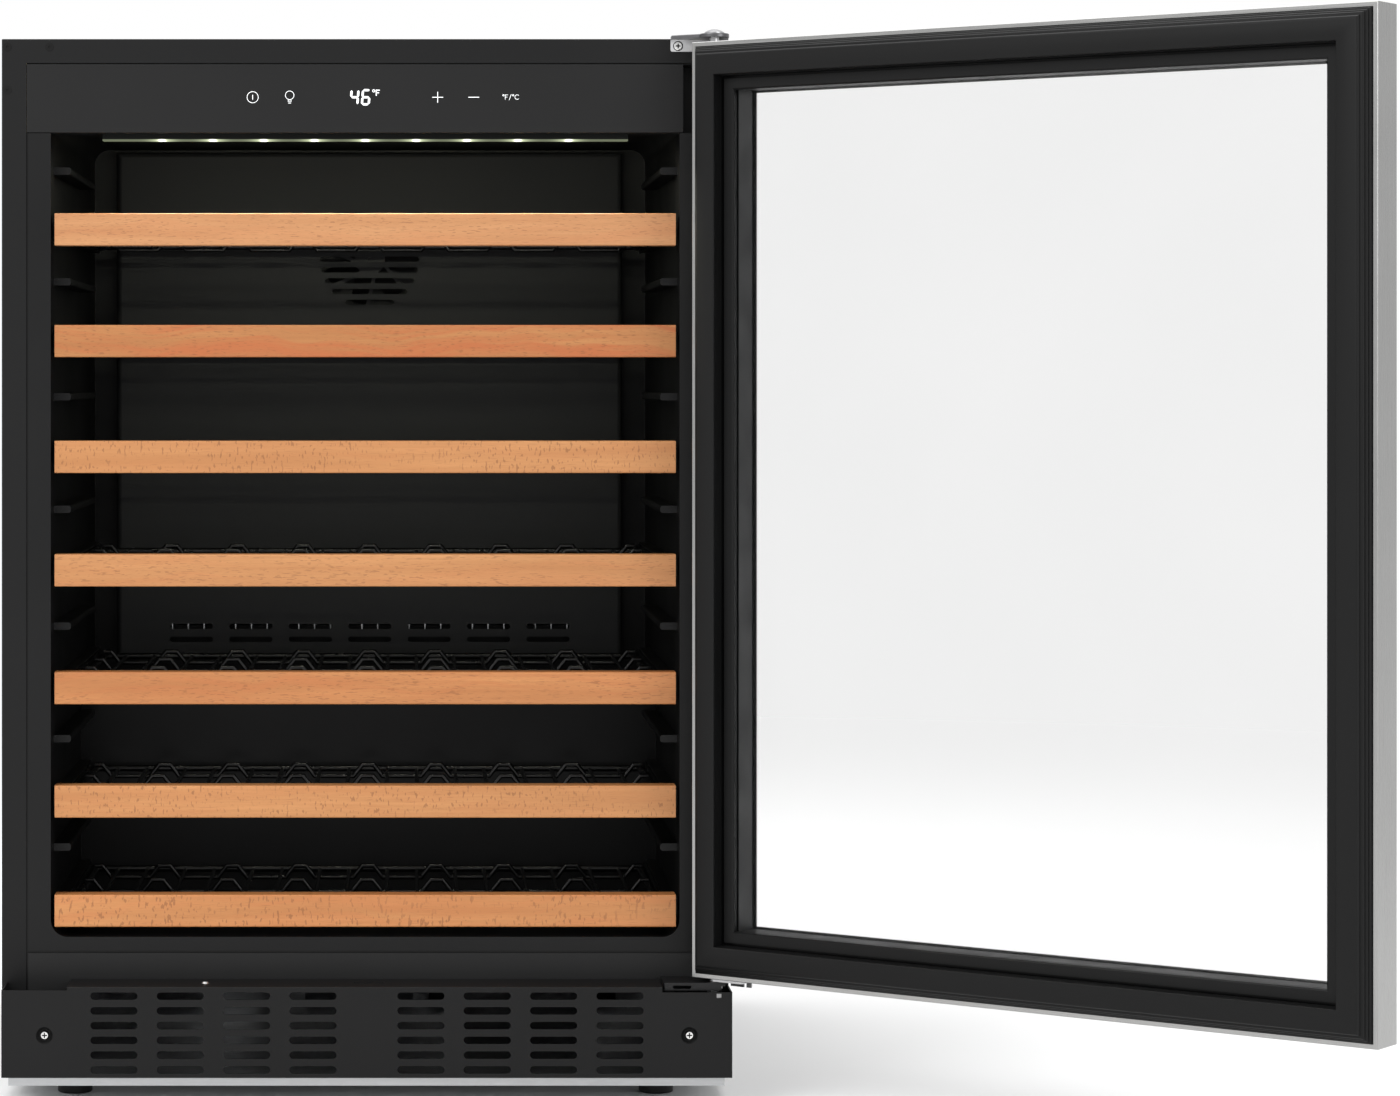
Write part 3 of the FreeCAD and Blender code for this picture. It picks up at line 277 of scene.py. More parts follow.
FINISHES["nylon"] = coated("nylon bush", (0.60, 0.59, 0.55), 0.42, 1500, 0.00002, 0.04, 0.5)
FINISHES["foam"] = coated("foam", (0.50, 0.42, 0.25), 0.85, 260, 0.0004, 0.15)
FINISHES["circuit_board"] = coated("circuit board", (0.007, 0.060, 0.024), 0.35, 1200, 0.00002, 0.2, 0.5)
FINISHES["led_board"] = coated("light board", (0.10, 0.11, 0.09), 0.4, 1500, 0.00001, 0.04)
# Painted light: a lighter black than the powder coat, against the kick plate's shade; seams get painted shade.
crossbar_lightened_black = coated(
    "front crossbar", (0.0095, 0.0096, 0.0098), 0.50, 700, 0.00003, gloss=0.3, shade=seam_shade
)
# The kick plate's black, darkened round its two screws: painted shade in their dimples.
kick_black = coated("kick plate", POWDER_BLACK, 0.50, 700, 0.00003, gloss=0.22, shade=dimple_shade)
print(len(FINISHES), "coated finishes")

# %% [markdown]
# ## Bare metals
# The door's skin is brushed stainless: the belt leaves scratches one way only, along the length of each side
# of the frame, and they meet at the mitred corners. A picture of steel could be mapped on, but scratches are
# just noise stretched a hundred times along the brush. So the noise is stretched along the door's width for
# the top and bottom sides and along its height for the two uprights, and the nearer edge chooses.
# The scratches are worked out with the door shut, by turning the coordinates back about the pins.

# %% Brushed stainless steel
def brushed(name, colour, rough, along, turn=0.0, shift=(0, 0, 0), mitre=None):
    """Noise stretched about 120 times along the brush. With a mitre, the side nearer the point chooses."""
    f = Finish(name, Metallic=1.0)
    fine, long = 5200.0, 42.0
    scales = {"x": (long, fine, fine), "z": (fine, fine, long)}

    def scratches(way):
        coarse = tuple(n * 0.22 for n in scales[way])
        sharp = f.noise(f.place(scales[way], shift, turn), 1.0, detail=3.0)
        broad = f.noise(f.place(coarse, shift, turn), 1.0, detail=2.0)
        return sharp * 0.65 + broad * 0.35

    lines = scratches(along)
    if mitre is not None:
        x, _, z = f.axes(f.place((1, 1, 1), shift, turn))
        rail = (mitre[1] - abs(z)) < (mitre[0] - abs(x))
        lines = lines + rail * (scratches("x") - lines)
    cloud = f.noise(f.place(), 14.0, detail=3.0)
    tone = f.spread(lines, 0.32, 0.68) * 0.75 + f.spread(cloud, 0.3, 0.7) * 0.25
    f.drive("Base Color", f.blend(tone, tuple(n * 0.80 for n in colour), colour))
    f.drive("Roughness", f.spread(lines, 0.3, 0.7, rough - 0.07, rough + 0.09))
    f.bump(lines, 0.00002, 0.6)
    return f.material


door_half = (DOOR_HIGH - DOOR_LOW) / 2
shut_again = swing(np.zeros(3), -SWING) - (DOOR_LOW + DOOR_HIGH) / 2
STEEL = (0.395, 0.395, 0.39)
FINISHES["stainless"] = brushed("door skin steel", STEEL, 0.27, "z", -SWING, shut_again, door_half[[0, 2]])
handle_steel = brushed("handle steel", STEEL, 0.24, "z")
FINISHES["hinge_zinc"] = brushed("hinge zinc", (0.50, 0.50, 0.51), 0.30, "x")
print("brushed steel on a door", np.round(2 * door_half / MM, 1), "mm")

# %% [markdown]
# Galvanised sheet shows spangle: flat zinc crystals, each with its own tilt and so its own tone. Voronoi
# cells give the crystals, and one random number for each cell sets its tone and shine. Screws are plated and
# only need a little variation, and copper darkens in patches.

# %% Galvanised sheet and small metals
def galvanised():
    """Tone from each crystal's own random number, in cells 8 mm across, under streaks left by the rolls."""
    f = Finish("galvanised sheet", Metallic=1.0)
    crystal = f.node("TexVoronoi", None, {"Vector": f.place(), "Scale": 125.0}, "Color")
    tone = f.axes(crystal)[0]
    streak = f.noise(f.place((12, 12, 700)), 1.0, detail=3.0)
    mixed = tone * 0.3 + streak * 0.7
    f.drive("Base Color", f.blend(mixed, (0.40, 0.41, 0.42), (0.54, 0.55, 0.56)))
    f.drive("Roughness", f.spread(tone, 0.0, 1.0, 0.34, 0.55))
    f.bump(mixed, 0.00003, 0.4)
    return f.material


SLOT_SHADE_NEAR, SLOT_SHADE_FAR = 0.35 * MM, 4 * MM


def plated(name, dark, light, rough, patch, face=None):
    """Colour and roughness follow one noise. Inside a screw's cross, behind its face, is painted shade: black."""
    f = Finish(name, Metallic=1.0)
    cloud = f.spread(f.noise(f.place(), patch, detail=4.0), 0.3, 0.7)
    tone = f.blend(cloud, dark, light)
    # Painted shade: black from 0.35 to 4 mm behind the screw's face, where its cross is sunk.
    if face is not None:
        _, y, _ = f.axes(f.place())
        tone = f.blend((y > face + SLOT_SHADE_NEAR) * (y < face + SLOT_SHADE_FAR), tone, (0.01, 0.01, 0.01))
    f.drive("Base Color", tone)
    f.drive("Roughness", f.spread(cloud, 0.0, 1.0, rough + 0.12, rough))
    f.bump(f.noise(f.place(), patch * 12, detail=2.0), 0.00002, 0.5)
    return f.material


def shaded_arm_zinc():
    """Bright zinc on the cabinet's face; painted shade and reflection grey the arm 2 to 4 mm before it."""
    f = Finish("hinge bracket zinc", Metallic=1.0)
    _, y, _ = f.axes(f.place())
    # Painted shade and reflection: in front of the face the arm turns dark grey.
    arm = f.spread(y, FRONT - 4.0 * MM, FRONT - 2.0 * MM, 1.0, 0.0)
    cloud = f.spread(f.noise(f.place(), 120, detail=4.0), 0.3, 0.7)
    bright = f.blend(cloud, (0.58, 0.58, 0.59), (0.74, 0.74, 0.75))
    f.drive("Base Color", f.blend(arm, bright, (0.13, 0.13, 0.135)))
    f.drive("Roughness", f.spread(cloud, 0.0, 1.0, 0.40, 0.28))
    return f.material


FINISHES["galvanised"] = galvanised()
# The top bracket: zinc with painted shade and reflection on its arm.
bracket_zinc = shaded_arm_zinc()
FINISHES["screw_steel"] = plated("plated screw", (0.62, 0.62, 0.62), (0.85, 0.85, 0.84), 0.20, 160)
# Kick plate and hinge screws: plated steel with painted shade in their crosses.
kick_screw_steel, hinge_screw_steel = (
    plated(f"{node} steel", (0.66, 0.66, 0.66), (0.85, 0.85, 0.84), 0.25, 160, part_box(node)[0][1])
    for node in ("kick_plate_screws", "hinge_screws")
)
FINISHES["coil_aluminium"] = plated("coil aluminium", (0.55, 0.56, 0.57), (0.78, 0.79, 0.80), 0.34, 60)
FINISHES["copper"] = plated("copper line", (0.42, 0.19, 0.11), (0.85, 0.47, 0.32), 0.26, 50)
FINISHES["spacer_grey"] = plated("glass spacer", (0.056, 0.056, 0.057), (0.082, 0.082, 0.083), 0.45, 30)
print("metals done")

# %% [markdown]
# ## Beech shelf fronts
# Each shelf has a solid beech rail. Beech is pale and even, with fine lines along the grain, and short dark
# flecks where the cut crosses the wood's rays. A flat-sawn board shows flecks as small dashes along the
# grain, and a quarter-sawn one as ticks across it. Each rail came from another board, so each gets its own
# tone, its own stretch of the pattern, and one of the two cuts.

# %% Beech
PALE, WARM, DARK = (0.57, 0.29, 0.130), (0.435, 0.195, 0.077), (0.22, 0.084, 0.031)
ORANGE = (0.50, 0.165, 0.062)


def beech(number, tone, quarter, flame):
    """Bands, grain and pores are noise stretched along the rail, and flecks are noise past a threshold.
    The flame is bands of noise whose height wanders with a slower noise along the rail."""
    f = Finish(f"beech {number}", Coat_Weight=0.12, Coat_Roughness=0.35)
    shift = (0.83 * number, 0.31 * number, 0.47 * number)
    bands = f.noise(f.place((2.2, 46, 46), shift), 1.0, detail=3.0, rough=0.55)
    grain = f.noise(f.place((14, 520, 520), shift), 1.0, detail=4.0, rough=0.6)
    pores = f.spread(f.noise(f.place((90, 2600, 2600), shift), 1.0, detail=2.0), 0.60, 0.72)
    size, edge = ((520, 260, 210), 0.60) if quarter else ((170, 520, 950), 0.61)
    fleck = f.spread(f.noise(f.place(size, shift), 1.0, detail=1.0), edge, edge + 0.06)
    patch = f.spread(f.noise(f.place((9, 60, 60), shift), 1.0), 0.30, 0.50)
    fleck = fleck * patch
    x, y, z = f.axes(f.place((3.2, 30, 85), shift))
    wander = f.noise(f.place((7, 7, 7), shift), 1.0, detail=2.0) * 5.0
    figure = f.noise(f.node("CombineXYZ", None, {0: x, 1: y, 2: z + wander}), 1.0, detail=4.0, rough=0.65)
    light, middle, dark, orange = (tuple(np.multiply(tone, c)) for c in (PALE, WARM, DARK, ORANGE))
    board = f.blend(f.spread(bands, 0.32, 0.68), light, middle)
    board = f.blend(f.spread(grain, 0.38, 0.70) * 0.60, board, middle)
    board = f.blend(f.spread(figure, 0.44, 0.60) * flame, board, orange)
    board = f.blend(pores * 0.45, board, dark)
    board = f.blend(fleck * (0.62 if quarter else 0.50), board, dark)
    f.drive("Base Color", board)
    f.drive("Roughness", f.spread(grain, 0.3, 0.7, 0.38, 0.50))
    f.bump(grain * 0.6 - pores * 0.4, 0.00006, 0.5)
    return f.material


SHELVES = sorted(name for name in nodes if name.startswith("shelf_front_"))
TONES = [(1.06, 1.04, 1.00), (0.88, 0.75, 0.53), (1.05, 0.98, 0.81), (1.03, 0.97, 0.82),
         (0.96, 0.80, 0.58), (1.03, 0.95, 0.76), (1.13, 1.00, 0.76)]
FLAMES = (0.2, 0.95, 0.1, 0.2, 0.3, 0.15, 0.25)
QUARTER_SAWN = (False, False, True, False, False, True, True)
boards = [beech(i + 1, *kind) for i, kind in enumerate(zip(TONES, QUARTER_SAWN, FLAMES))]
print(len(boards), "beech rails")

# %% [markdown]
# ## Glass
# The door's two panes let the room show through with a slight grey veil, and mirror the light more at a
# glancing angle. True refraction would bend and slow the light four times for little gain, so each face is a
# thin veil: mostly see-through, and more solid where Fresnel's law makes it mirror.

# %% Glass
def glass():
    """See-through by alpha: a thin veil of about 2 %, plus half of Fresnel's curve."""
    f = Finish("door glass", Base_Color=(0.05, 0.055, 0.053, 1), Roughness=0.02, IOR=1.5)
    smear = f.spread(f.noise(f.place(), 6.0, detail=3.0), 0.3, 0.7, 0.016, 0.021)
    f.drive("Alpha", f.node("Fresnel", None, {"IOR": 1.45}) * 0.5 + smear)
    return f.material


FINISHES["clear_glass"] = glass()
print("glass done")

# %% [markdown]
# ## The light strip
# Under the control panel a clear trough covers a narrow board with nine small lights. The trough glows where
# the lights are and fades between them. Real lamps inside a frosted cover would be noisy to render, so the
# cover itself gives off light: its strength is a bell curve of the distance to the nearest light, and only
# its lower lip is bright. A long faint lamp under it then lights the shelves.

# %% Light strip
trough_low, trough_high = (np.array(corner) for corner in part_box("led_cover"))
LIGHTS, LIGHT_PITCH = 9, 41.8 * MM


def glowing_cover():
    """Glow: a wide bell 9 mm from the nearest light and a narrow one of 2.6 mm, on the lower lip only."""
    black = (0.004, 0.0045, 0.004, 1)
    f = Finish("light cover", Base_Color=black, Roughness=0.5, Emission_Strength=3.0, Specular_IOR_Level=0.12)
    x, _, z = f.axes(f.place())
    cells = x / LIGHT_PITCH + LIGHTS / 2
    off = (cells.maths("FRACT", cells) - 0.5) * LIGHT_PITCH
    bells = (off.maths("EXPONENT", off * off * (-1 / (reach * MM) ** 2)) for reach in (9, 2.6))
    inside = abs(x) < LIGHTS / 2 * LIGHT_PITCH
    wide, narrow = (bell * inside for bell in bells)
    lip = f.spread(z, trough_low[2] + 0.9 * MM, trough_low[2] + 1.4 * MM, 1.0, 0.0)
    glow = f.blend(wide, (0.050, 0.056, 0.036), (0.24, 0.27, 0.17))
    f.drive("Emission Color", f.blend(lip, (0.0, 0.0, 0.0), f.blend(narrow, glow, (1.0, 1.0, 0.84))))
    return f.material


FINISHES["led_cover"] = glowing_cover()
print("cover", np.round((trough_high - trough_low) / MM, 1), "mm")

# %% [markdown]
# ## Every part gets its finish
# The record names a slot for each part, and each slot has one finish above. The wooden rails take a board
# each, and the handle's steel is brushed along its own length.

# %% Finishes on the parts
SLOT_OF = {part["node"]: part["material_slot"] for part in frame["record"]["subparts"]}
OWN = {
    "handle_bar": handle_steel,
    "top_hinge_bracket": bracket_zinc,
    "front_crossbar": crossbar_lightened_black,
    "kick_plate": kick_black,
    "kick_plate_screws": kick_screw_steel,
    "hinge_screws": hinge_screw_steel,
}
for name, part in nodes.items():
    finish = FINISHES.get(SLOT_OF[name])
    if name in SHELVES:
        finish = boards[SHELVES.index(name)]
    finish = OWN.get(name, finish)
    part.data.materials.clear()
    part.data.materials.append(finish)
print(len(nodes), "parts finished")

# %% [markdown]
# ## Making new pieces
# A piece is a grid of points carried by a formula. One helper turns a grid of rows and columns into a mesh
# of quads: the grid can close on itself either way, and an open end gets a cap, so that every piece is a
# closed skin.

# %% Grids to meshes
def grid_faces(rows, columns, loop_rows, loop_columns, first=0):
    """Quads between neighbours on a grid. A loop joins the last row or column to the first."""
    row = np.arange(rows if loop_rows else rows - 1)[:, None]
    column = np.arange(columns if loop_columns else columns - 1)[None, :]
    here, there = row * columns, (row + 1) % rows * columns
    right = (column + 1) % columns
    quads = np.stack([here + column, here + right, there + right, there + column], axis=-1)
    return quads.reshape(-1, 4) + first


def make_piece(name, grids, finish, body, sharp=35.0):
    """One mesh from several grids of points, each (points, loop_rows, loop_columns). Open ends are capped."""
    points, faces, count = [], [], 0
    for grid, loop_rows, loop_columns in grids:
        rows, columns = grid.shape[:2]
        faces += grid_faces(rows, columns, loop_rows, loop_columns, count).tolist()
        if not loop_rows:
            faces.append(list(range(count + columns - 1, count - 1, -1)))
            faces.append(list(range(count + (rows - 1) * columns, count + rows * columns)))
        points.append(grid.reshape(-1, 3))
        count += rows * columns
    mesh = bpy.data.meshes.new(name)
    mesh.from_pydata(np.concatenate(points).tolist(), [], faces)
    mesh.validate()
    mesh.shade_smooth()
    mesh.set_sharp_from_angle(angle=math.radians(sharp))
    mesh.materials.append(finish)
    piece = bpy.data.objects.new(name, mesh)
    bpy.context.scene.collection.objects.link(piece)
    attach(piece, body)
    print(name, len(mesh.vertices), "points,", len(mesh.polygons), "faces")
    return piece


# %% [markdown]
# ## Door seal
# A magnetic seal is a soft extrusion pushed into a groove round the door: a flat band that holds the magnet,
# on a bellows that lets it follow the cabinet. It is welded from four lengths mitred at the corners. So one
# profile is carried round the door's rectangle, set in from its edge, and swung open with the door.

# %% Door seal
SEAL_INNER, CROWN_START = 28.0, 13.1
OUTER_ROUND, INNER_ROUND = 3.0, 1.4
FLANK_TALL, CROWN_TALL = 8.3, 11.3


def seal_profile(points=40):
    """Distance in from the door's edge against height: a flank of three rolls, a crown, a plain flank."""
    t = np.linspace(0.0, 1.0, points)
    rolls = abs(np.sin(3 * math.pi * t)) ** 0.4
    flank = 5.2 + 4.9 * t - 1.6 * rolls, FLANK_TALL * t
    turn = np.linspace(0.0, math.pi / 2, 7)[1:]
    crown_out = CROWN_START - OUTER_ROUND * np.cos(turn), FLANK_TALL + OUTER_ROUND * np.sin(turn)
    across = np.linspace(0.0, 1.0, 15)[1:-1]
    crown_end = SEAL_INNER - INNER_ROUND
    top = CROWN_START + (crown_end - CROWN_START) * across, CROWN_TALL + 0.7 * np.sin(math.pi * across)
    crown_in = crown_end + INNER_ROUND * np.sin(turn), CROWN_TALL + INNER_ROUND * (np.cos(turn) - 1)
    inner = np.full(4, SEAL_INNER), np.linspace(9.0, 0.0, 4)
    parts = [flank, crown_out, top, crown_in, inner]
    return np.concatenate([p[0] for p in parts]) * MM, np.concatenate([p[1] for p in parts]) * MM


def door_ring(inset, back):
    """Corner k of the ring: the door's half width and height less the inset, at that distance behind it."""
    signs = np.array([(-1, 0), (1, 0), (1, 1), (-1, 1)])[:, None, :]
    x = np.where(signs[..., 0] > 0, DOOR_HIGH[0] - inset, DOOR_LOW[0] + inset)
    z = np.where(signs[..., 1] > 0, DOOR_HIGH[2] - inset, DOOR_LOW[2] + inset)
    y = np.broadcast_to(DOOR_HIGH[1] + back, x.shape)
    return swing(np.stack([x, y, z], axis=-1))


seal_grid = door_ring(*seal_profile()), True, True
seal = make_piece("door_seal", [seal_grid], FINISHES["gasket_rubber"], "door", 50)
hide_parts("door_gasket")

# %% [markdown]
# ## Small hinge pieces
# The bright stop under the door ends in a tab folded down, with a notch in it, and the head of a nut shows
# through a small hole at the kick plate's right end. Both are plain bars, and the tab swings with the door.

# %% Stop tab and nut
def bar(low, high):
    """The four upright edges of a bar between two corners, at its foot and at its top, in millimetres."""
    x, y, z = zip(low, high)
    plan = [(x[0], y[0]), (x[1], y[0]), (x[1], y[1]), (x[0], y[1])]
    return np.array([[(a, b, c) for a, b in plan] for c in z], float) * MM


front_mm, under = FRONT / MM, DOOR_LOW[2] / MM
TAB_LEFT, TAB_RIGHT, NOTCH_LEFT, NOTCH_RIGHT = 257.9, 277.5, 262.4, 265.0
outer, inner, bend = front_mm - 42.7, front_mm - 41.2, front_mm - 39.5
plate, tip = under - 2.0, under - 8.7
tab = [
    bar((TAB_LEFT, outer, plate), (TAB_RIGHT, bend, under)),
    bar((TAB_LEFT, outer, tip), (NOTCH_LEFT, inner, plate)),
    bar((NOTCH_RIGHT, outer, tip), (TAB_RIGHT, inner, plate)),
]
stop_steel = plated("stop steel", (0.22, 0.22, 0.22), (0.36, 0.36, 0.36), 0.35, 90)
make_piece("stop_tab", [(swing(t), False, True) for t in tab], stop_steel, "door")
nut = bar((283.6, front_mm - 43.7, 87.6), (289.2, front_mm - 41.0, 92.8))
make_piece("hinge_nut", [(nut, False, True)], stop_steel, "cabinet")

# %% [markdown]
# ## Touch marks
# The panel has no buttons. Thin lit strokes show through it: a power ring, a lamp, the set temperature, a
# plus, a minus and the unit. Text objects would bring a font's shapes, so each mark is drawn from strokes: a
# path in the panel's plane with a width, and 0.15 mm of depth so that it stands clear of the panel.

# %% Strokes
PANEL_MIDDLE = PANEL_LOW[2] + 29.0 * MM
STROKE_PROUD = 0.15 * MM


def stroke(path, width, closed=False):
    """A ribbon: each point of the path moved half the width to both sides, at the front and at the back."""
    path, width = np.array(path, float), np.reshape(width, (-1, 1))
    if closed:
        ahead = np.roll(path, -1, 0) - np.roll(path, 1, 0)
    else:
        ahead = np.gradient(path, axis=0)
    ahead /= np.linalg.norm(ahead, axis=1, keepdims=True)
    side = np.stack([-ahead[:, 1], ahead[:, 0]], axis=1) * width / 2
    left, right = path + side, path - side
    front = np.full(len(path), FRONT - STROKE_PROUD)
    back = np.full(len(path), FRONT + STROKE_PROUD)
    corners = [(left, front), (right, front), (right, back), (left, back)]
    points = [np.stack([p[:, 0] * MM, y, PANEL_MIDDLE + p[:, 1] * MM], axis=1) for p, y in corners]
    return np.stack(points, axis=1), closed, True


def arc(x, z, radius, start, end, points=28):
    """Points on a circle from one angle to another, in degrees from +X."""
    angle = np.radians(np.linspace(start, end, points))
    return np.stack([x + radius * np.cos(angle), z + radius * np.sin(angle)], axis=1)


SEGMENTS = {
    "a": ((0, 2), (1, 2)), "b": ((1, 1), (1, 2)), "c": ((1, 0), (1, 1)), "d": ((0, 0), (1, 0)),
    "e": ((0, 0), (0, 1)), "f": ((0, 1), (0, 2)), "g": ((0, 1), (1, 1)),
}


def digit(x, lit, wide=5.6, half=5.8, width=1.75, lean=0.08):
    """A seven-segment digit: each lit segment is a stroke with pointed ends, leaning with its height."""
    strokes = []
    for name in lit:
        ends = np.array(SEGMENTS[name], float) * (wide, half) - (0, half)
        along = (ends[1] - ends[0]) / np.linalg.norm(ends[1] - ends[0])
        steps = np.array([0.2, width / 2 + 0.2])[:, None] * along
        path = np.concatenate([ends[0] + steps, ends[1] - steps[::-1]])
        path[:, 0] += x + path[:, 1] * lean
        strokes.append(stroke(path, [0.1, width, width, 0.1]))
    return strokes


def ring(x, z, radius, width):
    """A closed circle."""
    return stroke(arc(x, z, radius, 0, 345, 24), width, True)


def letter_f(x, z, wide, tall, width):
    """The letter F from its foot's left corner: a stem and two arms."""
    return [
        stroke([(x, z), (x, z + tall)], width),
        stroke([(x, z + tall - width / 2), (x + wide, z + tall - width / 2)], width),
        stroke([(x, z + tall * 0.5), (x + wide * 0.8, z + tall * 0.5)], width),
    ]


def bulb(x, z):
    """A lamp: most of a circle that narrows into a neck, with two short lines for its cap."""
    neck = np.array([(1.35, -2.6), (1.35, -3.7), (-1.35, -3.7), (-1.35, -2.6)]) + (x, z)
    outline = np.concatenate([arc(x, z + 1.6, 3.5, 302, 598, 40)[::-1], neck[::-1]])
    return [stroke(outline, 0.4, True), stroke([(x - 1.2, z - 4.8), (x + 1.2, z - 4.8)], 0.4)]


THIN, LINE = 0.35, 0.50
icons = [ring(-92.1, 0, 4.6, 0.4), stroke([(-92.1, -2.0), (-92.1, 2.0)], LINE)]
icons += bulb(-61.8, 0)
icons += digit(-11.5, "fgbc") + digit(-2.2, "acdefg")
icons += [ring(7.0, 5.2, 0.95, 0.5)] + letter_f(9.1, 1.2, 2.9, 4.9, 0.75)
icons += [stroke([(54.9, 0), (63.9, 0)], LINE), stroke([(59.4, -4.5), (59.4, 4.5)], LINE)]
icons += [stroke([(84.4, 0), (93.4, 0)], LINE)]
icons += [ring(113.2, 1.6, 0.6, 0.35)] + letter_f(114.7, -1.9, 2.2, 4.0, THIN)
icons += [stroke([(117.9, -2.3), (119.7, 2.4)], THIN)]
icons += [ring(121.2, 1.6, 0.6, 0.35), stroke(arc(124.5, 0.1, 1.85, 45, 315), THIN)]


def lit_mark():
    """White light through the panel, its strength drifting by a fifth from mark to mark."""
    f = Finish("lit mark", Roughness=0.4, Emission_Strength=0.9)
    drift = f.spread(f.noise(f.place(), 40.0), 0.3, 0.7)
    f.drive("Emission Color", f.blend(drift, (0.78, 0.82, 0.84), (0.95, 0.98, 1.0)))
    return f.material


make_piece("touch_marks", icons, lit_mark(), "cabinet", 30)

# %% [markdown]
# ## Screws of the back
# The rear panel and the machine cover are held by cross-head screws along their edges. A head is a shallow
# dome with a cross sunk in it. Cutting it out would take a Boolean for each, so the dome is a disc of rings
# and spokes whose height is the dome's curve less a cross-shaped dip.

# %% Screws
CROSS_DEEP = 0.9 * MM
EDGE_IN = 9 * MM
SIDE_HEIGHTS = (0.046, 0.170, 0.318, 0.345, 0.52, 0.69, 0.855)
ROW_PLACES, ROW_HEIGHTS = (-0.19, 0.0, 0.19), (0.318, 0.345, 0.855)


def screw_head(x, z, radius=3.4 * MM, tall=1.3 * MM):
    """Height: tall * sqrt(1 - r^2) less the cross's depth inside its soft edges, turned by x + z."""
    rings = np.linspace(0.999, 0.02, 22)[:, None]
    spoke = np.linspace(0, 2 * math.pi, 48, endpoint=False)[None, :]
    u, v = rings * np.cos(spoke), rings * np.sin(spoke)
    turn = 40 * (x + z)
    p = abs(u * math.cos(turn) - v * math.sin(turn))
    q = abs(u * math.sin(turn) + v * math.cos(turn))
    arm = np.minimum(np.maximum(p, q / 4.2), np.maximum(q, p / 4.2))
    dip = CROSS_DEEP / (1 + np.exp((arm - 0.15) * 60))
    height = tall * np.sqrt(1 - rings ** 2) + 0 * u
    foot = np.stack([x - u[:1] * radius, np.full_like(u[:1], BACK - 0.3 * MM), z + v[:1] * radius], axis=-1)
    head = np.stack([x - u * radius, BACK + height - dip, z + v * radius], axis=-1)
    return np.concatenate([foot, head]), False, True


rear_places = [(side * (SIDE - EDGE_IN), z) for side in (-1, 1) for z in SIDE_HEIGHTS]
rear_places += [(x, z) for x in ROW_PLACES for z in ROW_HEIGHTS]
heads = [screw_head(x, z) for x, z in rear_places]
make_piece("rear_screws", heads, FINISHES["screw_steel"], "cabinet")

# %% [markdown]
# ## Floor
# The cooler stands on a round pale floor, so that it can be seen from any side. A curved wall would hide the
# back, and a flat floor would show its horizon. So the floor goes from paper to plain white light over two
# metres, and its far part looks like the sky. It isn't part of the cooler.

# %% Floor
def round_floor(radius=14.0, points=96):
    """A flat disc: points at even angles on a circle, joined by one face."""
    turn = np.linspace(0, 2 * math.pi, points, endpoint=False)
    rim = np.stack([radius * np.cos(turn), radius * np.sin(turn), 0 * turn], axis=-1)
    mesh = bpy.data.meshes.new("studio_floor")
    mesh.from_pydata(rim.tolist(), [], [list(range(points))])
    made = bpy.data.objects.new("studio_floor", mesh)
    bpy.context.scene.collection.objects.link(made)
    return made


PAPER_END, LIGHT_START = 1.7, 3.6
paper = Finish("studio paper", Roughness=0.9, Specular_IOR_Level=0.0, Emission_Strength=1.0)
x, y, _ = paper.axes(paper.place())
far = paper.spread((x * x + y * y) ** 0.5, PAPER_END, LIGHT_START)
shade = paper.spread(paper.noise(paper.place(), 0.6), 0.3, 0.7)
near = paper.blend(shade, (0.92, 0.92, 0.92), (0.94, 0.94, 0.94))
paper.drive("Base Color", paper.blend(far, near, (0.0, 0.0, 0.0)))
paper.drive("Emission Color", paper.blend(far, (0.0, 0.0, 0.0), (1.0, 1.0, 1.0)))
floor = round_floor()
floor.data.materials.append(paper.material)
print("studio floor ready")

# %% [markdown]
# ## Lamps and room
# Black steel shows only what it mirrors. Three soft lamps and a bright room give broad, even reflections, and
# a long faint lamp under the light strip lights the shelves. The sky is a little brighter when it is looked
# at than when it lights the cooler, which keeps the background white and the blacks deep.

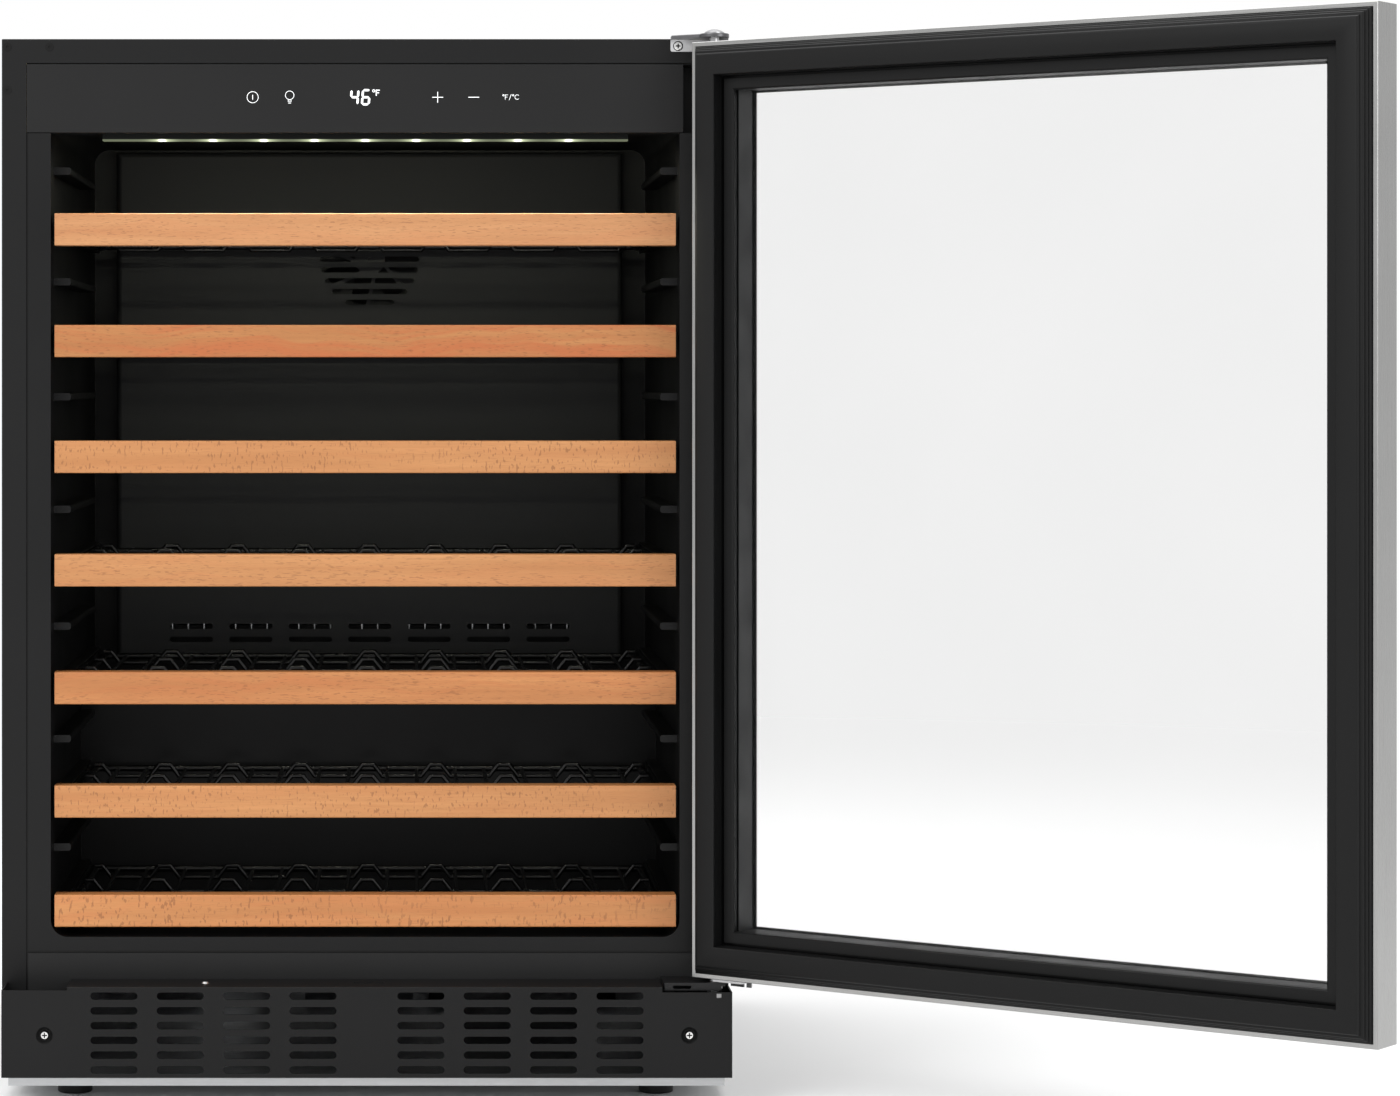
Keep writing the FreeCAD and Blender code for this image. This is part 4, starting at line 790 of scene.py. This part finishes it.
# %% Lamps and room
def lamp(name, place, target, size, power, colour=(1, 1, 1)):
    """A soft rectangular lamp, its face turned to the target."""
    data = bpy.data.lights.new(name, "AREA")
    data.shape = "RECTANGLE"
    data.size, data.size_y = size
    data.energy, data.color = power, colour
    made = bpy.data.objects.new(name, data)
    made.location = place
    aim = mathutils.Vector(target) - mathutils.Vector(place)
    made.rotation_euler = aim.to_track_quat("-Z", "Y").to_euler()
    bpy.context.scene.collection.objects.link(made)


lamp("key", (-2.4, -3.0, 3.0), (0, 0, 0.5), (2.4, 2.0), 80)
lamp("fill", (3.0, -3.2, 1.8), (0, 0, 0.4), (2.0, 2.0), 40)
lamp("top", (0.0, 0.2, 3.4), (0, 0, 0), (3.0, 2.6), 62)
glow_at = ((trough_low + trough_high) / 2) + (0, 2 * MM, -5 * MM)
lamp("shelf glow", glow_at, glow_at + (0, 0.10, -0.30), (0.42, 0.012), 0.9, (1.0, 1.0, 0.80))

world = bpy.data.worlds.new("bright room")
world.use_nodes = True
sky, links = world.node_tree.nodes, world.node_tree.links
sky["Background"].inputs["Color"].default_value = (1.0, 1.0, 1.0, 1)
seen_directly = sky.new("ShaderNodeLightPath").outputs["Is Camera Ray"]
strength = sky.new("ShaderNodeMapRange")
links.new(seen_directly, strength.inputs["Value"])
strength.inputs["To Min"].default_value, strength.inputs["To Max"].default_value = 0.85, 1.0
links.new(strength.outputs["Result"], sky["Background"].inputs["Strength"])
bpy.context.scene.world = world
bpy.context.scene.view_settings.view_transform = "Standard"
print(len(bpy.data.lights), "lamps")

# %% [markdown]
# ## Camera
# The camera looks straight at the cabinet's front from 3.3 m, a little above the middle of its height, with
# a long lens. The frame sits to the right of and below the line of sight, so the lens is shifted, as on a
# view camera, and every upright edge stays upright.

# %% Camera
CAMERA_DISTANCE = 3.3342
data = bpy.data.cameras.new("camera")
data.lens, data.sensor_width = 104.7, 36.0
data.shift_x, data.shift_y = 0.2111, -0.1183
camera = bpy.data.objects.new("camera", data)
camera.location = (0.0322, FRONT - CAMERA_DISTANCE, 0.5859)
camera.rotation_euler = (math.pi / 2, 0, 0)
bpy.context.scene.collection.objects.link(camera)
bpy.context.scene.camera = camera
print("camera at", [round(c, 3) for c in camera.location])
